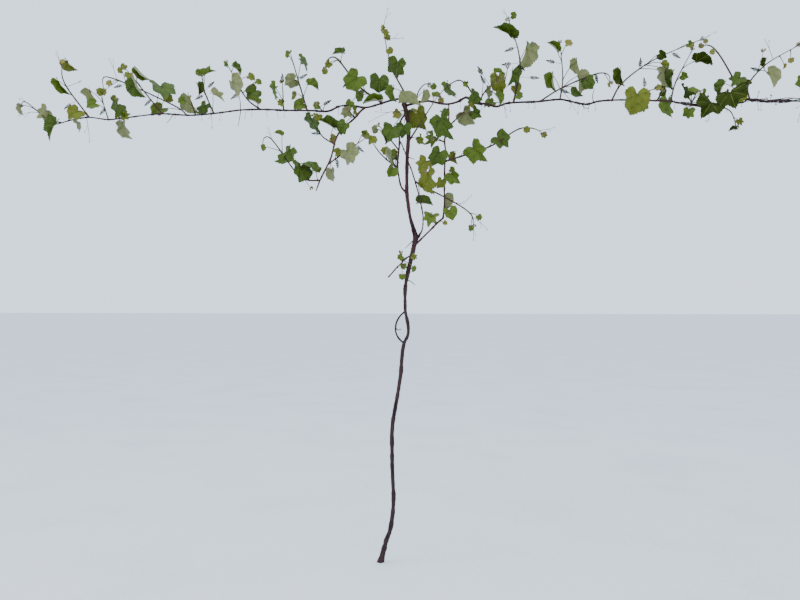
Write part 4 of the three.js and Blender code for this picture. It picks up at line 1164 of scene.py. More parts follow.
# %% Stems and tips
RED_STEM, GREEN_STEM, YOUNG_STEM = 0, 1, 2
STEM_PARTS = (0.3, 0.75)  # where its red foot ends on average, and where its pale tip starts
STEM_STOUT = 1.55  # times the girth that its row says
STEM_TAPER = 1.7  # above 1, a stem keeps its girth for most of its length
STEM_NODE_REACH, STEM_NODE_SWELL = 2.6, 0.3
STEM_FOOT_REACH, STEM_FOOT_SWELL = 5, 0.5
STEM_SIDES, STEM_RING_STEP = 9, 3
TIP_RADIUS = 0.9
TIP_LEAVES = (15, 12, 9, 6)
TIP_WAY_FROM = 0.96  # the end's direction is read from this share on
TIP_BACK, TIP_APART = 9, 3  # how far from the end the first tip leaf stands, and the next from it
TIP_DEEP, TIP_SPREAD, TIP_TWIST = (-0.5, 0.5), (0.4, 0.9), (-0.4, 0.4)
TIP_SHUT_SHARE, TIP_FOLD, TIP_DROOP = 0.4, 0.75, 0.3
TIP_STALK, TIP_STALK_SIDES, TIP_STALK_RADII = 0.35, 5, (0.6, 0.5, 0.4)
PART_BORDERS = (-190, 450)  # x between the pieces left, middle and right
stem_heap, stalk_heap = Heap(), Heap()
leaf_heaps = {"left": Heap(), "middle": Heap(), "right": Heap()}


def part_of_vine(x):
    """Which heap of leaves a place belongs to."""
    return leaf_heaps["left" if x < PART_BORDERS[0] else "right" if x > PART_BORDERS[1] else "middle"]


def stem_mesh(route, girth, node_shares, draw):
    """A stem with a swelling at each node, reddish at its foot and pale at its tip."""
    count = max(10, int(route.length / STEM_RING_STEP))
    shares = np.linspace(0, 1, count)
    foot = girth / 2
    radius = STEM_STOUT * (foot + (TIP_RADIUS - foot) * shares**STEM_TAPER)
    along = shares * route.length
    nodes = [share * route.length for share in node_shares]
    radius *= swelling(along, nodes, STEM_NODE_REACH, STEM_NODE_SWELL)
    radius *= swelling(along, [0], STEM_FOOT_REACH, STEM_FOOT_SWELL)
    red = STEM_PARTS[0] * between(draw, 0.4, 1.6)
    kinds = [RED_STEM if s < red else GREEN_STEM if s < STEM_PARTS[1] else YOUNG_STEM for s in shares[:-1]]
    tube(stem_heap, route.many(count), radius, STEM_SIDES, kinds)


def growing_tip(route, draw):
    """Tiny folded leaves round the end of a stem."""
    end = route.at(1)
    way = unit(end - route.at(TIP_WAY_FROM))
    side = unit(np.cross(way, DEPTHWISE))
    for number, size in enumerate(TIP_LEAVES):
        foot = end - way * (TIP_BACK - TIP_APART * number)
        out = side * (1 if number % 2 == 0 else -1) + np.array([0, between(draw, *TIP_DEEP), 0])
        ahead = unit(way + out * between(draw, *TIP_SPREAD))
        up = unit(np.cross(ahead, np.cross(out, ahead) + way * between(draw, *TIP_TWIST)))
        folded = draw() < TIP_SHUT_SHARE
        kinds = (YOUNG_FELT, YOUNG, YOUNG, YOUNG) if folded else (YOUNG, YOUNG_FELT, YOUNG, YOUNG_FELT)
        notch = foot + ahead * size * TIP_STALK
        line = [foot, (foot + notch) / 2, notch]
        tube(stalk_heap, line, TIP_STALK_RADII, TIP_STALK_SIDES, GREEN_STALK)
        reach = size * REACH_PER_WIDTH
        blade(part_of_vine(foot[0]), draw, notch, up, ahead, reach, kinds, TIP_FOLD, TIP_DROOP)


print("tints change at these shares of a stem:", STEM_PARTS)

# %% [markdown]
# ## Fork buds and side stems
# In the fork of each leaf stalk sits a tiny bud, which would be next year's shoot. A few stems carry a thin
# side stem with a tip of its own. Both are made by the helpers for older wood, only smaller and green,
# because they are the same things at a younger age; new shapes would look like another plant's.

# %% Fork buds and side stems
FORK_BUD_OUT, FORK_BUD_RISE, FORK_BUD_LENGTH, FORK_BUD_GIRTH = 1.2, 1.2, 4, 2.2
SIDE_RADII, SIDE_RING_STEP, SIDE_SIDES = (1.5, 0.8), 4, 7


def fork_bud(root, way):
    """The bud above a leaf stalk, which leaves the stem at `root`."""
    rise = unit(way + np.array([0, 0, FORK_BUD_RISE]))
    bud(stem_heap, root + way * FORK_BUD_OUT, rise, FORK_BUD_LENGTH, FORK_BUD_GIRTH, GREEN_STEM)


def side_stem(route, draw):
    """A thin green side stem with a growing tip."""
    count = max(8, int(route.length / SIDE_RING_STEP))
    tube(stem_heap, route.many(count), np.linspace(*SIDE_RADII, count), SIDE_SIDES, GREEN_STEM)
    growing_tip(route, draw)


print("a fork's bud is", FORK_BUD_LENGTH, "mm long, one on the wood", BUD_LENGTH)

# %% [markdown]
# ## How a shoot grows
# This is the rule the solids were grown by. The stem leaves its limb and leans to one side of the row.
# Leaves stand on alternate sides, each a stalk's length from its node. Finer things go on from there: a
# bud in each leaf's fork, the growing tip, and forks on the tendrils. `moved` pushes a leaf along the
# line of sight, and `swing` a whole stem, where it would have touched its neighbour or stood out of the
# solids' box. Blender's hair could carry leaves too, but not at the places where the solids have them.

# %% The growing rule
FIRST_SEED, SEED_STEP = 11, 37
TRUNK_GIRTH = 14
FIRST_NODE = 6
NODE_BACK = 0.45
STALK_REACH = (0.7, 0.95)
LEAST_APART = 0.15
FULLNESS = (1.2, 1.02)  # a leaf that looks narrow is folded, so laid flat it is wider than it looks
ROUND_SHAPES = (0.5, 0.9)
PLACES_TRIED = 40  # along a stem, for the one that comes nearest to a leaf
TENDRIL_DEPTH = -8
TENDRIL_BOWS = (-0.06, 0.1)
GREEN_TENDRIL_SHARE = 0.7
shoot_draw = {"seed": FIRST_SEED}
tendril_heap, cluster_heap = Heap(), Heap()
grown = {"shoots": 0, "leaves": 0, "tendrils": 0, "clusters": 0}
grown_names = []


def shoot(name, on, girth, lean, stem, leaves, sides=(), tendrils=(), clusters=(), moved=None, swing=0):
    """Grows one shoot from its row of places."""
    shoot_draw["seed"] += SEED_STEP
    draw = seeded(shoot_draw["seed"])
    fine = seeded(shoot_draw["seed"] * 7 + 3)
    stations = limbs[on]
    gap = np.hypot(stations[:, 0] - stem[0][0], stations[:, 2] - stem[0][1])
    foot = stations[gap.argmin(), 1] - ROW_Y
    last = len(stem) - 1
    reach = [(lean + swing) * math.sin(i / last * math.pi / 2) for i in range(len(stem))]
    places = [on_sight(place, foot + depth) for place, depth in zip(stem, reach)]
    route = Route(places)
    ring_count = max(4, len(stem) + 1)
    chords = route.many(ring_count + 1)
    first = ((TRUNK_GIRTH if on == "trunk" else stations[0, 3]) / 2 + FIRST_NODE) / route.length

    def on_stem(share):
        """A place on the stem as the solids have it, straight from ring to ring."""
        ring = min(int(share * ring_count), ring_count - 1)
        return chords[ring] + (chords[ring + 1] - chords[ring]) * (share * ring_count - ring)

    def nearest(point):
        """The share of the stem that comes nearest to a point."""
        shares = [first + (1 - first) * step / PLACES_TRIED for step in range(PLACES_TRIED + 1)]
        return min(shares, key=lambda share: np.linalg.norm(on_stem(share) - point))

    node_shares = []
    for number, row in enumerate(leaves):
        (x, z, width, height), face = row[:4], row[4] if len(row) > 4 else OVER
        tilt = row[5] if len(row) > 5 else 0
        size = max(width, height)
        share = max(first, nearest(on_sight([x, z], foot)) - NODE_BACK * size / route.length)
        node = on_stem(share)
        side = (1 if number % 2 == 0 else -1) * (1 if lean >= 0 else -1)
        apart = np.linalg.norm(on_sight([x, z], node[1] - ROW_Y) - node)
        stalk_reach = size * between(draw, *STALK_REACH)
        aside = math.sqrt(max(stalk_reach**2 - apart**2, (LEAST_APART * size) ** 2))
        leaf_seed = int(draw() * SEED_RANGE)
        middle = on_sight([x, z], node[1] - ROW_Y + side * aside + (moved or {}).get(number, 0))
        fold = leaf_fold(fine, width, height)
        up, ahead = attitude(seeded(leaf_seed), middle, node, width, height, face, fold, tilt)
        reach = size * REACH_PER_WIDTH * np.interp(min(width, height) / size, ROUND_SHAPES, FULLNESS)
        notch = middle - ahead * NOTCH_REACH * reach
        root = route.at(share)
        stalk(stalk_heap, fine, root, notch, ahead)
        kinds = leaf_kinds(fine, size, x)
        blade(part_of_vine(x), seeded(leaf_seed + 1), notch, up, ahead, reach, kinds, fold)
        fork_bud(root, unit(notch - root))
        node_shares.append(share)
        grown["leaves"] += 1
    stem_mesh(route, girth, node_shares, fine)
    growing_tip(route, fine)
    for points in sides:
        start = on_stem(nearest(on_sight(points[0], foot + lean / 2)))
        branch = Route([start] + [on_sight(place, start[1] - ROW_Y) for place in points[1:]])
        side_stem(branch, fine)
    for place in clusters:
        node = on_stem(nearest(on_sight(place, foot + lean / 2)))
        cluster(cluster_heap, fine, node, on_sight(place, node[1] - ROW_Y))
        grown["clusters"] += 1
    for points in tendrils:
        start = on_stem(nearest(on_sight(points[0], foot + lean / 2)))
        ends = [on_sight(place, start[1] - ROW_Y + TENDRIL_DEPTH) for place in points[1:]]
        bow = between(fine, *TENDRIL_BOWS) * np.linalg.norm(ends[0] - start)
        middle = (start + ends[0]) / 2 + np.array([0, 0, bow])
        kind = GREEN_TENDRIL if fine() < GREEN_TENDRIL_SHARE else DRY_TENDRIL
        tendril(tendril_heap, fine, [start, middle, *ends], kind)
        grown["tendrils"] += 1
    grown["shoots"] += 1
    grown_names.append(name)


print("the first shoot's seed is", FIRST_SEED + SEED_STEP)

# %% [markdown]
# ## Last year's tendrils
# Dead tendrils stay wound round the arms, brown and hard, with a loose end that hangs or sticks out. Each
# is a coil a little wider than the arm and a bent tail. A ready-made spiral would be straight, while an arm
# bends, so the coil is worked out from the arm's own rings.

# %% Dry tendrils on the arms
WRAPS = {"left_arm": 11, "right_arm": 20}
WRAP_RADIUS = 0.8
WRAP_STARTS = (0.1, 0.92)  # shares of the arm
WRAP_TURNS, WRAP_STEPS, WRAP_PITCH = (1.5, 3.5), 12, 1.2
WRAP_CLEAR = 1.12
TAIL_REACHES = (14, 34)
TAIL_ASIDE, TAIL_DEEP, TAIL_SAG = 6, 5, 0.6
TAIL_FIRST, TAIL_SECOND, TAIL_HANG, TAIL_RINGS = 5, 4, 0.6, 10  # how its bend leads from coil to end
TAIL_COIL = 2.5
TAIL_THINS = 0.7


def wrap(heap, draw, name):
    """A dry tendril: a few turns round an arm and a loose end."""
    centres, _, radius = limb_lines[name]
    across, over = rings(centres)
    first = int(between(draw, *WRAP_STARTS) * len(centres))
    turns = between(draw, *WRAP_TURNS)
    phase = between(draw, 0, 2 * math.pi)
    steps = int(turns * WRAP_STEPS)
    coil = []
    for step in range(steps):
        place = first + step / steps * turns * WRAP_PITCH
        i, part = int(place), place % 1
        if i + 1 >= len(centres):
            break
        middle = centres[i] * (1 - part) + centres[i + 1] * part
        angle = phase + step / steps * turns * 2 * math.pi
        out = across[i] * math.cos(angle) + over[i] * math.sin(angle)
        coil.append(middle + out * (radius[i] * WRAP_CLEAR + WRAP_RADIUS))
    end, way = coil[-1], unit(coil[-1] - coil[-2] + np.array([0, 0, -TAIL_SAG]))
    reach = between(draw, *TAIL_REACHES)
    hang = np.array([between(draw, -TAIL_ASIDE, TAIL_ASIDE), between(draw, -TAIL_DEEP, TAIL_DEEP), -reach])
    tail = Route([end, end + way * TAIL_FIRST, end + hang * TAIL_HANG + way * TAIL_SECOND, end + hang])
    loose = list(tail.many(TAIL_RINGS))[1:]
    thin = WRAP_RADIUS * TAIL_THINS
    ending, ending_radii = curl(draw, loose[-1], unit(loose[-1] - loose[-2]), thin, TAIL_COIL)
    radii = [WRAP_RADIUS] * len(coil) + list(np.linspace(WRAP_RADIUS, thin, len(loose)))
    tube(heap, coil + loose + ending, radii + ending_radii, TENDRIL_SIDES, DRY_TENDRIL)


wrap_draw = seeded(77)
for name, wanted in WRAPS.items():
    for _ in range(wanted):
        wrap(tendril_heap, wrap_draw, name)
print("dry tendrils:", sum(WRAPS.values()))

# %% [markdown]
# ## A tangle of dead strands
# Towards its end the right arm is wrapped in the thin dead side shoots of last year, which make it look
# three times as thick from afar. Each is a tube that runs along the arm, turns about it in wide windings
# and ends in the air. Placing them by hand would show no better from where the vine is seen, so a rule
# does it.

# %% Dead strands on the right arm
STRANDS = 20
STRAND_STARTS = (1100, 1500)  # x of the tangle
STRAND_LENGTHS = (70, 210)
STRAND_RADIUS, STRAND_THINS, STRAND_SIDES = 1.5, 0.6, 6
STRAND_TURNS = (0.4, 1.3)
STRAND_OFF = (1.0, 8.0)  # widest gap between a strand and the arm
STRAND_WAVES, WAVE_HEIGHT, LEAST_GAP = 23, 0.8, 0.3
STRAND_ENDS = (-24, 34)  # how far its end drops or rises
STRAND_ASIDE = 8
END_FIRST, END_LAST, END_LIFT, END_RINGS = 10, 15, 0.3, 7  # how its end leaves the arm
STRAND_COIL = 4.0


def strand(heap, draw, name):
    """A thin dead side shoot that runs along an arm and ends in the air."""
    centres, _, radius = limb_lines[name]
    across, over = rings(centres)
    first = int(np.abs(centres[:, 0] - between(draw, *STRAND_STARTS)).argmin())
    count = int(between(draw, *STRAND_LENGTHS) / RING_STEP)
    last = min(first + count, len(centres) - 1)
    phase = between(draw, 0, 2 * math.pi)
    turns = between(draw, *STRAND_TURNS)
    off = between(draw, *STRAND_OFF)
    way = []
    for i in range(first, last + 1, 2):
        share = (i - first) / (last - first)
        angle = phase + share * turns * 2 * math.pi
        out = across[i] * math.cos(angle) + over[i] * math.sin(angle)
        gap = off * math.sin(share * math.pi) + WAVE_HEIGHT * math.sin(share * STRAND_WAVES + phase)
        way.append(centres[i] + out * (radius[i] + max(gap, LEAST_GAP) + STRAND_RADIUS * STRAND_THINS))
    end, ahead = way[-1], unit(way[-1] - way[-2])
    lift = np.array([0, between(draw, -STRAND_ASIDE, STRAND_ASIDE), between(draw, *STRAND_ENDS)])
    loose = Route([end, end + ahead * END_FIRST + lift * END_LIFT, end + ahead * END_LAST + lift])
    way += list(loose.many(END_RINGS))[1:]
    thin = STRAND_RADIUS * STRAND_THINS
    radii = list(np.linspace(STRAND_RADIUS, thin, len(way)))
    ending, ending_radii = curl(draw, way[-1], unit(way[-1] - way[-2]), thin, STRAND_COIL)
    tube(heap, way + ending, radii + ending_radii, STRAND_SIDES, DRY_TENDRIL)


strand_draw = seeded(131)
for _ in range(STRANDS):
    strand(tendril_heap, strand_draw, "right_arm")
print("dead strands:", STRANDS, "between x", *STRAND_STARTS)

# %% [markdown]
# ## The shoots of this vine
# Each row is one shoot: its limb, how thick it is, how far its tip leans from the arms' plane, the
# places of its stem, and then its leaves, tendrils and flower sprays. A leaf is its middle's place and
# the width and height it shows, and where needed the side it shows and its lean in degrees. They were
# read one by one, because where each leaf hangs is what makes this vine this one and not
# another. A scatter over the arms would be shorter and would give some other vine.

# %% Shoots of the left arm
shoot("shoot_left_01", "left_arm", girth=3.5, lean=40,
  stem=[[-1300, 1770], [-1355, 1785], [-1460, 1860], [-1475, 1845]],
  leaves=[[-1370, 1815, 50, 60, UNDER], [-1330, 1755, 45, 80, OVER, 30],
    [-1475, 1835, 20, 40, UNDER]],
  tendrils=[[[-1430, 1840], [-1475, 1870]], [[-1395, 1810], [-1475, 1805]]])
shoot("shoot_left_02", "left_arm", girth=4, lean=-70,
  stem=[[-1180, 1790], [-1290, 1945], [-1295, 2015]],
  leaves=[[-1235, 1810, 60, 50], [-1230, 1765, 20, 45, UNDER, -38], [-1300, 1925, 25, 70, OVER, -34],
    [-1265, 2010, 30, 55, OVER, -42], [-1295, 2020, 20, 15]],
  tendrils=[[[-1300, 1995], [-1315, 2055]], [[-1270, 1915], [-1215, 1935]], [[-1190, 1800],
    [-1175, 1690]]],
  clusters=[[-1270, 1835]],
  moved={1: -10})
shoot("shoot_left_03", "left_arm", girth=3.5, lean=55,
  stem=[[-1095, 1775], [-1130, 1880]],
  leaves=[[-1170, 1885, 45, 65, UNDER, -25], [-1160, 1840, 45, 35], [-1130, 1890, 30, 30]],
  clusters=[[-1120, 1810]])
shoot("shoot_left_04", "left_arm", girth=3.5, lean=-45,
  stem=[[-1050, 1780], [-1060, 1860]],
  leaves=[[-1055, 1825, 40, 70, OVER, -40], [-1080, 1855, 25, 40, OVER, -20],
    [-1030, 1795, 30, 40, OVER, -50], [-1030, 1745, 40, 75, UNDER, -8]],
  moved={3: 10})
shoot("shoot_left_05", "left_arm", girth=4, lean=90,
  stem=[[-765, 1785], [-800, 1815], [-1105, 1950], [-1120, 1940], [-1115, 1895]],
  leaves=[[-880, 1810, 60, 40], [-1045, 1975, 25, 25], [-1090, 1925, 25, 20], [-1115, 1890, 20, 25]],
  tendrils=[[[-1080, 1940], [-1090, 2020]]],
  clusters=[[-930, 1840], [-1055, 1910]])
shoot("shoot_left_06", "left_arm", girth=4, lean=-60,
  stem=[[-870, 1795], [-1030, 1990]],
  leaves=[[-870, 1895, 90, 40, OVER, 18], [-845, 1855, 35, 30], [-975, 1915, 40, 75, OVER, -25],
    [-960, 1965, 20, 65, OVER, -45], [-1010, 1955, 30, 25], [-1030, 1990, 25, 25]])
shoot("shoot_left_07", "left_arm", girth=3.5, lean=-50,
  stem=[[-730, 1785], [-755, 1860]],
  leaves=[[-785, 1845, 30, 30], [-750, 1840, 35, 80, UNDER, -22], [-695, 1815, 35, 55, OVER, 30]])
shoot("shoot_left_08", "left_arm", girth=4, lean=70,
  stem=[[-655, 1790], [-695, 1890], [-700, 1945]],
  leaves=[[-680, 1950, 55, 35, OVER, -30], [-715, 1955, 30, 30], [-720, 1895, 20, 45, OVER, -15],
    [-645, 1860, 55, 25, UNDER, 22]],
  tendrils=[[[-665, 1810], [-660, 1735]]],
  clusters=[[-665, 1905], [-715, 1855]])
shoot("shoot_left_09", "left_arm", girth=4.5, lean=-90,
  stem=[[-465, 1800], [-520, 1845], [-605, 1995]],
  leaves=[[-485, 1830, 40, 20, OVER, 30], [-490, 1870, 60, 55], [-570, 1900, 50, 80, UNDER, -15],
    [-505, 1930, 30, 25], [-475, 1910, 25, 20], [-565, 1965, 45, 30, OVER, 35], [-600, 1985, 25, 25]],
  clusters=[[-570, 1855]],
  moved={2: 8})
shoot("shoot_left_11", "left_arm", girth=4.5, lean=80,
  stem=[[-275, 1790], [-345, 2025]],
  leaves=[[-300, 1815, 50, 40], [-335, 1855, 35, 35], [-260, 1890, 50, 30, OVER, 15],
    [-335, 1910, 55, 50, UNDER], [-290, 1980, 20, 60, OVER, -34], [-355, 2015, 20, 25]],
  clusters=[[-290, 1925]])
shoot("shoot_left_12", "left_arm", girth=3.5, lean=-60,
  stem=[[-370, 1795], [-375, 1910]],
  leaves=[[-380, 1825, 30, 30], [-405, 1875, 25, 60, OVER, -5]],
  clusters=[[-375, 1920]])
shoot("shoot_left_13", "left_arm", girth=3, lean=-50,
  stem=[[-215, 1785], [-235, 1820]],
  leaves=[[-235, 1810, 30, 30], [-230, 1765, 30, 30]],
  clusters=[[-195, 1820]])
shoot("shoot_left_14", "left_arm", girth=5, lean=-110,
  stem=[[25, 1810], [-65, 1875], [-165, 1995], [-195, 1985], [-205, 1950]],
  leaves=[[-5, 1820, 65, 25], [-70, 1850, 25, 45, OVER, -10], [-105, 1815, 30, 30],
    [10, 1895, 70, 65], [-85, 1905, 80, 80], [-145, 2010, 45, 25], [-190, 1970, 25, 30],
    [-205, 1945, 20, 25]],
  clusters=[[-120, 1890]])
print("grown so far:", grown)

# %% [markdown]
# ## The hanging cane's shoots
# The cane that droops from the left arm carries four shoots. They grow towards the light, so the lower
# ones reach out and up again, and their leaves show more of the felted underside.

# %% Shoots of the hanging cane
shoot("shoot_hanging_1", "hanging_cane", girth=3.5, lean=-40,
  stem=[[-85, 1755], [-115, 1795]],
  leaves=[[-115, 1780, 45, 40, UNDER], [-85, 1785, 25, 40, OVER, -15],
    [-130, 1725, 45, 55, OVER, 25]],
  moved={1: -10, 2: -10})
shoot("shoot_hanging_2", "hanging_cane", girth=4, lean=60,
  stem=[[-165, 1655], [-220, 1695], [-250, 1775]],
  leaves=[[-175, 1680, 25, 30], [-185, 1730, 65, 30, OVER, 33], [-255, 1745, 40, 70, OVER, -25]],
  clusters=[[-240, 1700]])
shoot("shoot_hanging_3", "hanging_cane", girth=4, lean=-70,
  stem=[[-190, 1580], [-40, 1680]],
  leaves=[[-155, 1625, 30, 30], [-180, 1545, 30, 50, UNDER], [-110, 1620, 70, 80, UNDER],
    [-50, 1695, 25, 25]],
  clusters=[[-155, 1580], [-65, 1635]])
shoot("shoot_hanging_4", "hanging_cane", girth=4.5, lean=80,
  stem=[[-225, 1515], [-280, 1520], [-320, 1550], [-430, 1690], [-450, 1685], [-455, 1655]],
  leaves=[[-255, 1565, 65, 30, OVER, 38], [-300, 1560, 50, 75, OVER, -35],
    [-355, 1625, 50, 80, OVER, 30], [-385, 1700, 35, 25, OVER, 25], [-450, 1650, 20, 25]],
  sides=[[[-280, 1520], [-260, 1485]]],
  tendrils=[[[-415, 1680], [-430, 1725]]])
print("grown so far:", grown)

# %% [markdown]
# ## The head's shoots
# Where the arms meet, shoots stand close together: one tall, the others short or hanging in front of the
# trunk. The rule leans neighbours to different sides of the row, which keeps their leaves apart.

# %% Shoots of the head and the trunk
shoot("shoot_head_tall", "trunk", girth=5.5, lean=-60,
  stem=[[110, 1795], [115, 1830], [60, 1945], [25, 2095]],
  leaves=[[65, 1855, 50, 60], [80, 1955, 70, 80], [50, 2015, 25, 25], [40, 2065, 25, 20],
    [35, 2085, 25, 25], [25, 2105, 20, 20]],
  tendrils=[[[25, 2080], [45, 2175]], [[30, 2055], [100, 2060]]])
shoot("shoot_head_low", "trunk", girth=5, lean=-60,
  stem=[[110, 1780], [155, 1775]],
  leaves=[[120, 1810, 80, 55, UNDER], [165, 1760, 60, 85], [80, 1770, 30, 35], [60, 1705, 70, 60],
    [105, 1710, 60, 60]],
  tendrils=[[[135, 1775], [-30, 1740]]],
  moved={1: -32, 2: -10, 3: -32})
shoot("shoot_second_2", "second_cane", girth=4, lean=60,
  stem=[[85, 1630], [5, 1730]],
  leaves=[[25, 1685, 20, 45, OVER, -30], [-5, 1710, 25, 30, UNDER]],
  clusters=[[45, 1665]])
shoot("shoot_second_1", "second_cane", girth=4, lean=-50,
  stem=[[80, 1560], [20, 1610], [-30, 1680]],
  leaves=[[60, 1550, 35, 45], [80, 1610, 30, 50], [55, 1600, 25, 60, UNDER, -10], [35, 1625, 35, 30],
    [-25, 1680, 20, 50, OVER, -45]],
  moved={1: -10})
shoot("shoot_trunk_1", "trunk", girth=4.5, lean=-70,
  stem=[[125, 1660], [240, 1835]],
  leaves=[[230, 1830, 35, 25], [170, 1670, 20, 35]],
  sides=[[[170, 1725], [200, 1690]]])
shoot("shoot_thin_1", "thin_cane", girth=4, lean=-80,
  stem=[[150, 1505], [365, 1375], [375, 1330]],
  leaves=[[180, 1495, 35, 30], [180, 1420, 60, 40], [395, 1365, 25, 25], [365, 1325, 20, 25]],
  tendrils=[[[295, 1410], [330, 1415], [365, 1445]], [[390, 1360], [425, 1320]], [[375, 1335],
    [375, 1280]]],
  moved={1: 10})
print("grown so far:", grown)

# %% [markdown]
# ## The renewal canes' shoots
# A renewal cane is kept as next year's wood. Its shoots are short, and its leaves hang in a column
# beside the trunk. The last row is the tuft of small leaves on the cane that was cut back.

# %% Shoots of the renewal canes
shoot("shoot_renewal_1", "renewal_cane_up", girth=3.5, lean=-50,
  stem=[[280, 1735], [255, 1775]],
  leaves=[[255, 1730, 70, 100]])
shoot("shoot_renewal_2", "renewal_cane_up", girth=4, lean=60,
  stem=[[275, 1710], [355, 1785]],
  leaves=[[345, 1755, 60, 70, UNDER], [380, 1765, 35, 45], [365, 1795, 35, 30]])
shoot("shoot_renewal_3", "renewal_cane_up", girth=3.5, lean=-50,
  stem=[[265, 1655], [215, 1670]],
  leaves=[[215, 1670, 40, 55]])
shoot("shoot_renewal_4", "renewal_cane_up", girth=4, lean=-70,
  stem=[[265, 1595], [185, 1545]],
  leaves=[[240, 1605, 70, 70], [185, 1575, 60, 55], [200, 1520, 45, 85]],
  moved={2: -10})
shoot("shoot_renewal_5", "renewal_cane_up", girth=4.5, lean=70,
  stem=[[265, 1580], [440, 1635], [555, 1700], [610, 1695], [640, 1675]],
  leaves=[[305, 1600, 45, 50], [380, 1620, 70, 85], [475, 1660, 70, 60], [575, 1695, 25, 25],
    [640, 1675, 25, 25]],
  tendrils=[[[625, 1690], [680, 1700]]])
shoot("shoot_renewal_6", "renewal_cane_up", girth=3.5, lean=-60,
  stem=[[265, 1515], [290, 1545]],
  leaves=[[295, 1525, 45, 60], [250, 1500, 35, 40]],
  moved={1: -20})
shoot("shoot_renewal_7", "renewal_cane_up", girth=3.5, lean=60,
  stem=[[260, 1390], [290, 1410]],
  leaves=[[265, 1435, 40, 60, UNDER], [285, 1385, 50, 40]])
shoot("shoot_renewal_8", "renewal_cane_low", girth=3.5, lean=-50,
  stem=[[230, 1340], [210, 1380]],
  leaves=[[210, 1365, 60, 45], [265, 1345, 20, 20]])
shoot("shoot_low", "cut_cane", girth=3, lean=-30,
  stem=[[100, 1195], [95, 1235]],
  leaves=[[95, 1215, 25, 25], [105, 1180, 25, 25], [145, 1215, 25, 25], [145, 1170, 20, 25],
    [100, 1140, 25, 25]])
print("grown so far:", grown)

# %% [markdown]
# ## The right arm's shoots
# The right arm is longer and its shoots stand further apart. The two last rows stand beyond the edge of
# what was seen, so they repeat the habit of their neighbours.

# %% Shoots of the right arm
shoot("shoot_right_01", "right_arm", girth=3.5, lean=-40,
  stem=[[150, 1805], [165, 1855], [190, 1880], [205, 1875]],
  leaves=[[180, 1840, 25, 45, UNDER, 10], [220, 1870, 25, 25]])
shoot("shoot_right_02", "right_arm", girth=4, lean=70,
  stem=[[375, 1805], [365, 1845], [320, 1890], [265, 1860], [240, 1830]],
  leaves=[[280, 1860, 25, 65, OVER, -30], [345, 1875, 25, 25], [250, 1815, 25, 25]],
  moved={0: -15})
shoot("shoot_right_03", "right_arm", girth=4, lean=-60,
  stem=[[395, 1800], [420, 1845], [490, 1895]],
  leaves=[[380, 1830, 30, 50, OVER, -20], [470, 1885, 55, 75], [465, 1915, 35, 25]],
  sides=[[[405, 1820], [410, 1880], [400, 1925]]],
  clusters=[[410, 1890], [400, 1925]])
shoot("shoot_right_04", "right_arm", girth=3.5, lean=70,
  stem=[[475, 1790], [505, 1935]],
  leaves=[[435, 1840, 30, 45, UNDER], [465, 1820, 25, 45, OVER, -35], [440, 1800, 40, 25]],
  tendrils=[[[480, 1815], [500, 1745]]],
  moved={2: 10})
shoot("shoot_right_05", "right_arm", girth=5, lean=-80,
  stem=[[525, 1795], [550, 1920], [545, 1990], [505, 2120]],
  leaves=[[545, 1825, 30, 30], [535, 1855, 35, 40], [520, 1905, 35, 65, OVER, 10],
    [570, 1985, 60, 95, UNDER, 15], [505, 2060, 80, 30, OVER, 38], [525, 2130, 25, 25]],
  tendrils=[[[505, 2105], [490, 2150]]],
  clusters=[[605, 1890], [555, 1930], [500, 1945], [510, 2000]],
  moved={4: 24})
shoot("shoot_right_06", "right_arm", girth=4, lean=-80,
  stem=[[625, 1800], [700, 1845], [850, 1900], [880, 1890], [885, 1860]],
  leaves=[[765, 1840, 45, 50, OVER, -30], [770, 1875, 40, 75, UNDER, -10],
    [805, 1870, 45, 50, OVER, 20], [885, 1855, 20, 20]],
  clusters=[[835, 1880]])
shoot("shoot_right_07", "right_arm", girth=4, lean=70,
  stem=[[700, 1805], [710, 1880], [700, 2025]],
  leaves=[[675, 1880, 30, 65], [765, 1935, 25, 55, UNDER, -10], [680, 2000, 50, 20, OVER, 48],
    [730, 2015, 30, 25]],
  tendrils=[[[700, 1835], [755, 1765]]],
  clusters=[[720, 1835], [665, 1950]])
shoot("shoot_right_09", "right_arm", girth=4.5, lean=90,
  stem=[[890, 1795], [925, 1855], [1030, 1935], [1220, 2015]],
  leaves=[[925, 1890, 25, 65, OVER, -5], [1080, 1885, 30, 70, UNDER], [1075, 1920, 20, 40, OVER, -20],
    [1110, 1875, 35, 65, OVER, 10], [1070, 1960, 30, 35], [1175, 1995, 30, 30], [1230, 2005, 20, 20]],
  tendrils=[[[1200, 2005], [1260, 2035]]],
  clusters=[[995, 1935], [1125, 1955]])
shoot("shoot_right_10", "right_arm", girth=4, lean=-60,
  stem=[[975, 1795], [995, 1820], [1055, 1835]],
  leaves=[[980, 1800, 85, 95, OVER, -10], [1005, 1775, 40, 35, OVER, 20], [1060, 1840, 20, 20]],
  clusters=[[1010, 1860]])
shoot("shoot_right_11", "right_arm", girth=3.5, lean=-50,
  stem=[[1055, 1790], [1080, 1830]],
  leaves=[[1075, 1825, 30, 35], [1095, 1775, 40, 70, OVER, -5]],
  moved={1: 20})
shoot("shoot_right_12", "right_arm", girth=4, lean=60,
  stem=[[1105, 1785], [1120, 1850], [1185, 1980]],
  leaves=[[1150, 1880, 25, 30], [1210, 1930, 65, 30, OVER, 8], [1185, 1985, 20, 20]],
  swing=-28)
shoot("shoot_right_13", "right_arm", girth=3.5, lean=-60,
  stem=[[1175, 1770], [1200, 1820]],
  leaves=[[1160, 1820, 20, 55, OVER, -20], [1185, 1820, 45, 25], [1220, 1820, 25, 25],
    [1170, 1745, 45, 45]],
  moved={3: -10})
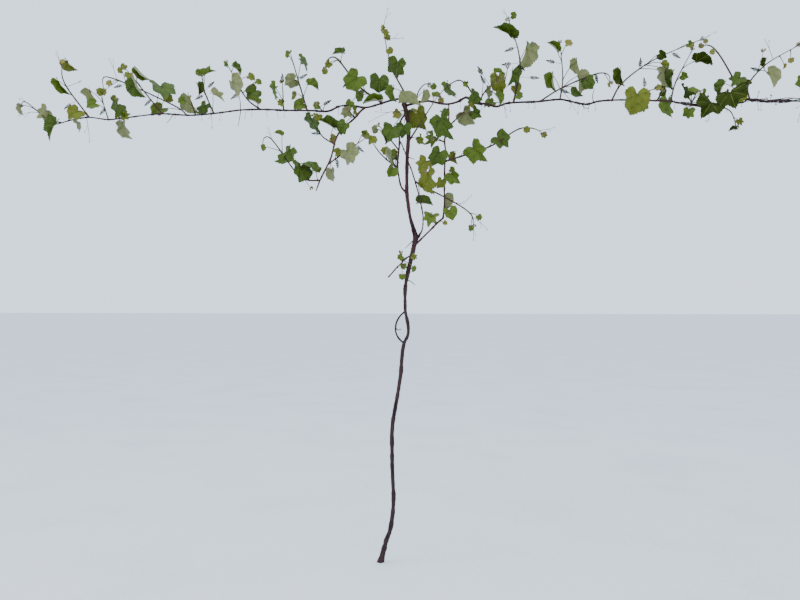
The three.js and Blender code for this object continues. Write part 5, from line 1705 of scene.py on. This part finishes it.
shoot("shoot_right_14", "right_arm", girth=3.5, lean=-60,
  stem=[[1255, 1765], [1235, 1800]],
  leaves=[[1245, 1770, 85, 45, OVER, 30]],
  tendrils=[[[1245, 1785], [1240, 1715], [1230, 1710]]])
shoot("shoot_right_15", "right_arm", girth=3.5, lean=-70,
  stem=[[1330, 1775], [1305, 1820]],
  leaves=[[1320, 1805, 90, 55, OVER, -20], [1355, 1800, 40, 40]],
  moved={1: -10})
shoot("shoot_right_16", "right_arm", girth=4.5, lean=70,
  stem=[[1370, 1785], [1250, 1985], [1210, 1990]],
  leaves=[[1370, 1840, 40, 30, OVER, -30], [1345, 1860, 55, 50], [1290, 1835, 35, 55, OVER, 30],
    [1255, 1965, 20, 20], [1215, 1990, 20, 20]],
  swing=-28)
shoot("shoot_right_17", "right_arm", girth=4.5, lean=-66,
  stem=[[1385, 1785], [1380, 1835], [1435, 1905], [1560, 1980]],
  leaves=[[1455, 1870, 30, 60, UNDER, -30], [1440, 1920, 20, 35, OVER, 20], [1505, 1905, 20, 20],
    [1530, 1925, 20, 20], [1570, 1985, 25, 20]],
  sides=[[[1415, 1875], [1425, 1920], [1435, 1965]]],
  tendrils=[[[1430, 1965], [1440, 2000]]],
  clusters=[[1405, 1895]])
shoot("shoot_right_18", "right_arm", girth=3.5, lean=60,
  stem=[[1275, 1765], [1320, 1740], [1340, 1680]],
  leaves=[[1350, 1705, 30, 30], [1330, 1675, 30, 25]])
shoot("shoot_right_19", "right_arm", girth=4, lean=60,
  stem=[[1565, 1775], [1635, 1905], [1640, 1955]],
  leaves=[[1600, 1800, 50, 50], [1575, 1845, 35, 50], [1640, 1865, 40, 40, UNDER],
    [1620, 1920, 30, 30], [1640, 1960, 20, 20]],
  tendrils=[[[1575, 1795], [1555, 1700]]],
  clusters=[[1645, 1900]])
shoot("shoot_right_20", "right_arm", girth=3.5, lean=-50,
  stem=[[1600, 1775], [1635, 1785], [1695, 1845]],
  leaves=[[1640, 1745, 45, 45], [1675, 1780, 40, 35, UNDER], [1680, 1845, 30, 30]],
  tendrils=[[[1680, 1830], [1720, 1855]]])
print("grown:", grown, "and each stands for a solid:", sorted(grown_names) == shoot_nodes)

# %% [markdown]
# ## Finishes
# Every finish is a small node tree. Two noises of different size mix two tones of one colour, and the
# finer one also raises the surface a little. For bark and stems the noise is stretched along the limb, so
# that it reads as fibre. Painting the mottling by hand would give the same look and no way to change it.

# %% A mottled finish
TONES_FROM, TONES_TO = 0.78, 1.0  # the two noises' sum at the dark and at the light tone
ROUGH_FROM, ROUGH_TO, ROUGH_SPREAD = 0.7, 1.3, 0.1
BUMP_STRENGTH = 0.7
HARDLY_RAISED = 0.0002  # metres
SOFT_GLOSS = 0.15


def tone(red, green, blue):
    """A colour as the eye names it, 0 to 255, turned into the linear numbers a shader wants."""
    shares = [value / 255 for value in (red, green, blue)]
    linear = [share / 12.92 if share < 0.0404 else ((share + 0.055) / 1.055) ** 2.4 for share in shares]
    return (*linear, 1)


def node(tree, kind, place, **values):
    """Adds a node and sets its inputs by name."""
    made = tree.nodes.new(kind)
    made.location = place
    for name, value in values.items():
        made.inputs[name.replace("_", " ")].default_value = value
    return made


def mottled(
    name, dark, light, look, stretch=(1, 1, 1), raised=HARDLY_RAISED, sheen=0.0, gloss=SOFT_GLOSS
):
    """Two tones mixed by two noises. `look` is its roughness and the noises' sizes in metres."""
    roughness, grain, patch = look
    made = bpy.data.materials.new(name)
    made.use_nodes = True
    tree = made.node_tree
    shader = tree.nodes["Principled BSDF"]
    shader.inputs["Sheen Weight"].default_value = sheen
    shader.inputs["Specular IOR Level"].default_value = gloss
    place = node(tree, "ShaderNodeTexCoord", (-1100, 0))
    spread = node(tree, "ShaderNodeMapping", (-920, 0), Scale=stretch)
    fine = node(tree, "ShaderNodeTexNoise", (-740, 120), Scale=1 / grain, Detail=6.0, Roughness=0.6)
    broad = node(tree, "ShaderNodeTexNoise", (-740, -160), Scale=1 / patch, Detail=3.0, Roughness=0.5)
    both = node(tree, "ShaderNodeMath", (-560, 0))
    both.operation = "ADD"
    ramp = node(tree, "ShaderNodeValToRGB", (-380, 0))
    ramp.color_ramp.elements[0].position = TONES_FROM
    ramp.color_ramp.elements[0].color = dark
    ramp.color_ramp.elements[1].position = TONES_TO
    ramp.color_ramp.elements[1].color = light
    rough = node(tree, "ShaderNodeMapRange", (-380, -260), From_Min=ROUGH_FROM, From_Max=ROUGH_TO)
    rough.inputs["To Min"].default_value = roughness - ROUGH_SPREAD
    rough.inputs["To Max"].default_value = min(roughness + ROUGH_SPREAD, 1)
    bump = node(tree, "ShaderNodeBump", (-200, -420), Strength=BUMP_STRENGTH, Distance=raised)
    links = tree.links
    links.new(place.outputs["Object"], spread.inputs["Vector"])
    for noise in (fine, broad):
        links.new(spread.outputs["Vector"], noise.inputs["Vector"])
    links.new(fine.outputs[0], both.inputs[0])
    links.new(broad.outputs[0], both.inputs[1])
    links.new(both.outputs[0], ramp.inputs[0])
    links.new(both.outputs[0], rough.inputs["Value"])
    links.new(ramp.outputs[0], shader.inputs["Base Color"])
    links.new(rough.outputs[0], shader.inputs["Roughness"])
    links.new(fine.outputs[0], bump.inputs["Height"])
    links.new(bump.outputs["Normal"], shader.inputs["Normal"])
    return made


print("the eye's middle grey is", round(tone(128, 128, 128)[0], 3), "to a shader")

# %% [markdown]
# ## Bark, canes and stems
# The trunk is dark purple brown and turns redder towards the head, where the bark is younger. The arms
# are dark and fibrous, the canes smoother and redder. Green stems are flushed with red at their foot. All
# come from the one recipe with other numbers. A node tree for each could differ more, but these barks are
# of one vine and differ in tone and grain only.

# %% Bark and stem finishes
UPRIGHT_FIBRES, LEVEL_FIBRES = (1, 1, 0.1), (0.12, 1, 1)  # a small number draws the noise out that way
CANE_FIBRES, STEM_FIBRES = (1, 1, 0.12), (1, 1, 0.4)
STEM_LOOK = (0.6, 0.004, 0.02)

trunk_bark = mottled(
    "trunk_bark", tone(15, 8, 12), tone(60, 42, 43), (0.88, 0.0035, 0.02), UPRIGHT_FIBRES, raised=0.0015
)
strip_bark = mottled(
    "strip_bark", tone(34, 23, 23), tone(84, 64, 56), (0.9, 0.003, 0.03), UPRIGHT_FIBRES, raised=0.001
)
arm_bark = mottled(
    "arm_bark", tone(24, 15, 18), tone(60, 40, 40), (0.8, 0.003, 0.025), LEVEL_FIBRES, raised=0.001
)
cane_bark = mottled(
    "cane_bark", tone(34, 19, 22), tone(76, 46, 42), (0.62, 0.003, 0.03), CANE_FIBRES, raised=0.0003
)
red_stem = mottled("red_stem", tone(44, 28, 24), tone(66, 46, 34), STEM_LOOK, STEM_FIBRES)
green_stem = mottled("green_stem", tone(46, 42, 24), tone(68, 62, 34), STEM_LOOK, STEM_FIBRES)
young_stem = mottled("young_stem", tone(72, 72, 42), tone(98, 92, 58), STEM_LOOK, sheen=0.2)
red_stalk = mottled("red_stalk", tone(62, 40, 34), tone(84, 62, 44), STEM_LOOK)
green_stalk = mottled("green_stalk", tone(56, 58, 32), tone(80, 80, 46), STEM_LOOK)
soft_tendril = mottled("soft_tendril", tone(34, 32, 18), tone(54, 49, 28), STEM_LOOK)
dry_tendril = mottled("dry_tendril", tone(26, 17, 16), tone(46, 32, 27), (0.7, 0.003, 0.02))
print("fibres on the arms run along X, on trunk and canes along Z")

# %% [markdown]
# ## Younger bark above
# The head of the vine is younger than its foot, and its bark redder. A mix in the bark's own node tree,
# driven by the height of the point, gives a slow change that no seam betrays. Two materials on two pieces
# would show a line where they meet.

# %% Bark that reddens with height
AGE_CHANGES = (1.0, 1.5)  # metres above the ground
YOUNG_TINT = (1.25, 0.92, 0.95, 1)


def redden_with_height(finish, low, high):
    """Mixes a red brown into a bark above a height, where the bark is younger."""
    tree = finish.node_tree
    ramp = tree.nodes["Color Ramp"]
    shader = tree.nodes["Principled BSDF"]
    place = tree.nodes["Texture Coordinate"]
    apart = node(tree, "ShaderNodeSeparateXYZ", (-560, 320))
    rise = node(tree, "ShaderNodeMapRange", (-380, 320), From_Min=low, From_Max=high)
    mix = tree.nodes.new("ShaderNodeMix")
    mix.data_type = "RGBA"
    mix.location = (-140, 180)
    mix.blend_type = "MULTIPLY"
    tree.links.new(place.outputs["Object"], apart.inputs[0])
    tree.links.new(apart.outputs["Z"], rise.inputs["Value"])
    tree.links.new(rise.outputs[0], mix.inputs["Factor"])
    tree.links.new(ramp.outputs[0], mix.inputs[6])
    mix.inputs[7].default_value = YOUNG_TINT
    tree.links.new(mix.outputs[2], shader.inputs["Base Color"])


for finish in (trunk_bark, strip_bark):
    redden_with_height(finish, *AGE_CHANGES)
print("bark reddens between", *AGE_CHANGES, "m")

# %% [markdown]
# ## Leaf finishes
# A leaf's top has a soft gloss, its underside hardly any, because felt scatters the light. So the two
# sides need different roughness and not only different colours. The list keeps the order in which the
# finishes were named where they are dealt out.

# %% Leaf, bud and floor finishes
LEAF_LOOK = (0.5, 0.004, 0.018)
SOFT_LOOK = (0.55, 0.004, 0.018)
BEAD_LOOK = (0.6, 0.002, 0.01)
leaf_finishes = [
    mottled("leaf_deep", tone(38, 54, 8), tone(62, 80, 18), LEAF_LOOK),
    mottled("leaf_fresh", tone(55, 74, 12), tone(79, 96, 24), LEAF_LOOK),
    mottled("leaf_olive", tone(76, 84, 14), tone(98, 102, 28), SOFT_LOOK),
    mottled("leaf_young", tone(96, 98, 30), tone(120, 112, 48), (0.55, 0.003, 0.012), sheen=0.2),
    mottled("felt_pale", tone(92, 96, 56), tone(116, 118, 76), (0.92, 0.003, 0.015), sheen=0.15),
    mottled("felt_young", tone(110, 96, 62), tone(130, 112, 78), (0.92, 0.003, 0.012), sheen=0.2),
    mottled("vein_top", tone(84, 92, 22), tone(104, 108, 38), (0.55, 0.004, 0.02)),
    mottled("vein_felt", tone(96, 98, 52), tone(114, 114, 68), (0.8, 0.004, 0.02), sheen=0.1),
    # Painted shade: a darker top with hardly any gloss for the leaves at the right end, standing for the
    # shade there.
    mottled("leaf_painted_shade", tone(26, 35, 2), tone(42, 53, 5), (0.6, 0.004, 0.018), gloss=0.05),
]
bead_green = mottled("bead_green", tone(38, 46, 22), tone(56, 64, 32), BEAD_LOOK)
bead_dark = mottled("bead_dark", tone(24, 27, 19), tone(40, 42, 28), BEAD_LOOK)
floor_finish = mottled("pale_floor", tone(214, 217, 219), tone(222, 225, 227), (0.9, 0.02, 0.6))
floor_data.materials.append(floor_finish)
print("leaf finishes:", len(leaf_finishes))

# %% [markdown]
# ## From heaps to pieces
# Each heap becomes one object that rides with the vine, and the four main ones stand for all its solids.
# Leaves make three pieces, left, middle and right, to keep each of them light enough for an export. One
# object for the whole vine would be simpler, but too heavy, and nobody could pick out its leaves.

# %% Make the pieces
canes = [name for name in NODES if "cane" in name]
pieces = [
    piece("trunk_wood", trunk_heap, [trunk_bark], ["trunk"]),
    piece("bark_strips", strip_heap, [strip_bark]),
    piece("arms", arm_heap, [arm_bark], ["left_arm", "right_arm"]),
    piece("canes", cane_heap, [cane_bark], canes),
    piece("green_stems", stem_heap, [red_stem, green_stem, young_stem], shoot_nodes),
    piece("leaf_stalks", stalk_heap, [red_stalk, green_stalk]),
    piece("tendrils", tendril_heap, [soft_tendril, dry_tendril]),
    piece("flower_buds", cluster_heap, [green_stalk, bead_green, bead_dark]),
]
pieces += [piece("leaves_" + side, heap, leaf_finishes) for side, heap in leaf_heaps.items()]

print("canes that one piece stands for:", ", ".join(canes))

# %% [markdown]
# ## Faces that look outwards
# A renderer and an export both want each closed body's faces to look out. Rather than reason about every
# helper's winding, Blender is asked once to turn them.

# %% Turn the faces outwards
import bmesh

for made in pieces:
    work = bmesh.new()
    work.from_mesh(made.data)
    bmesh.ops.recalc_face_normals(work, faces=work.faces)
    work.to_mesh(made.data)
    work.free()
print("all together", sum(len(made.data.polygons) for made in pieces), "faces")

# %% [markdown]
# ## Measure the boxes
# The dressed vine has to stay inside the box of its solids, apart from a hand's breadth of leeway. Both
# boxes are printed so that they can be compared.

# %% Print both boxes
dressed_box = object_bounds()
boxes = {"solids": solids_box, "dressed": dressed_box}
boxes = {name: [list(corner) for corner in box] for name, box in boxes.items()}
print({name: [[round(v, 3) for v in corner] for corner in box] for name, box in boxes.items()})
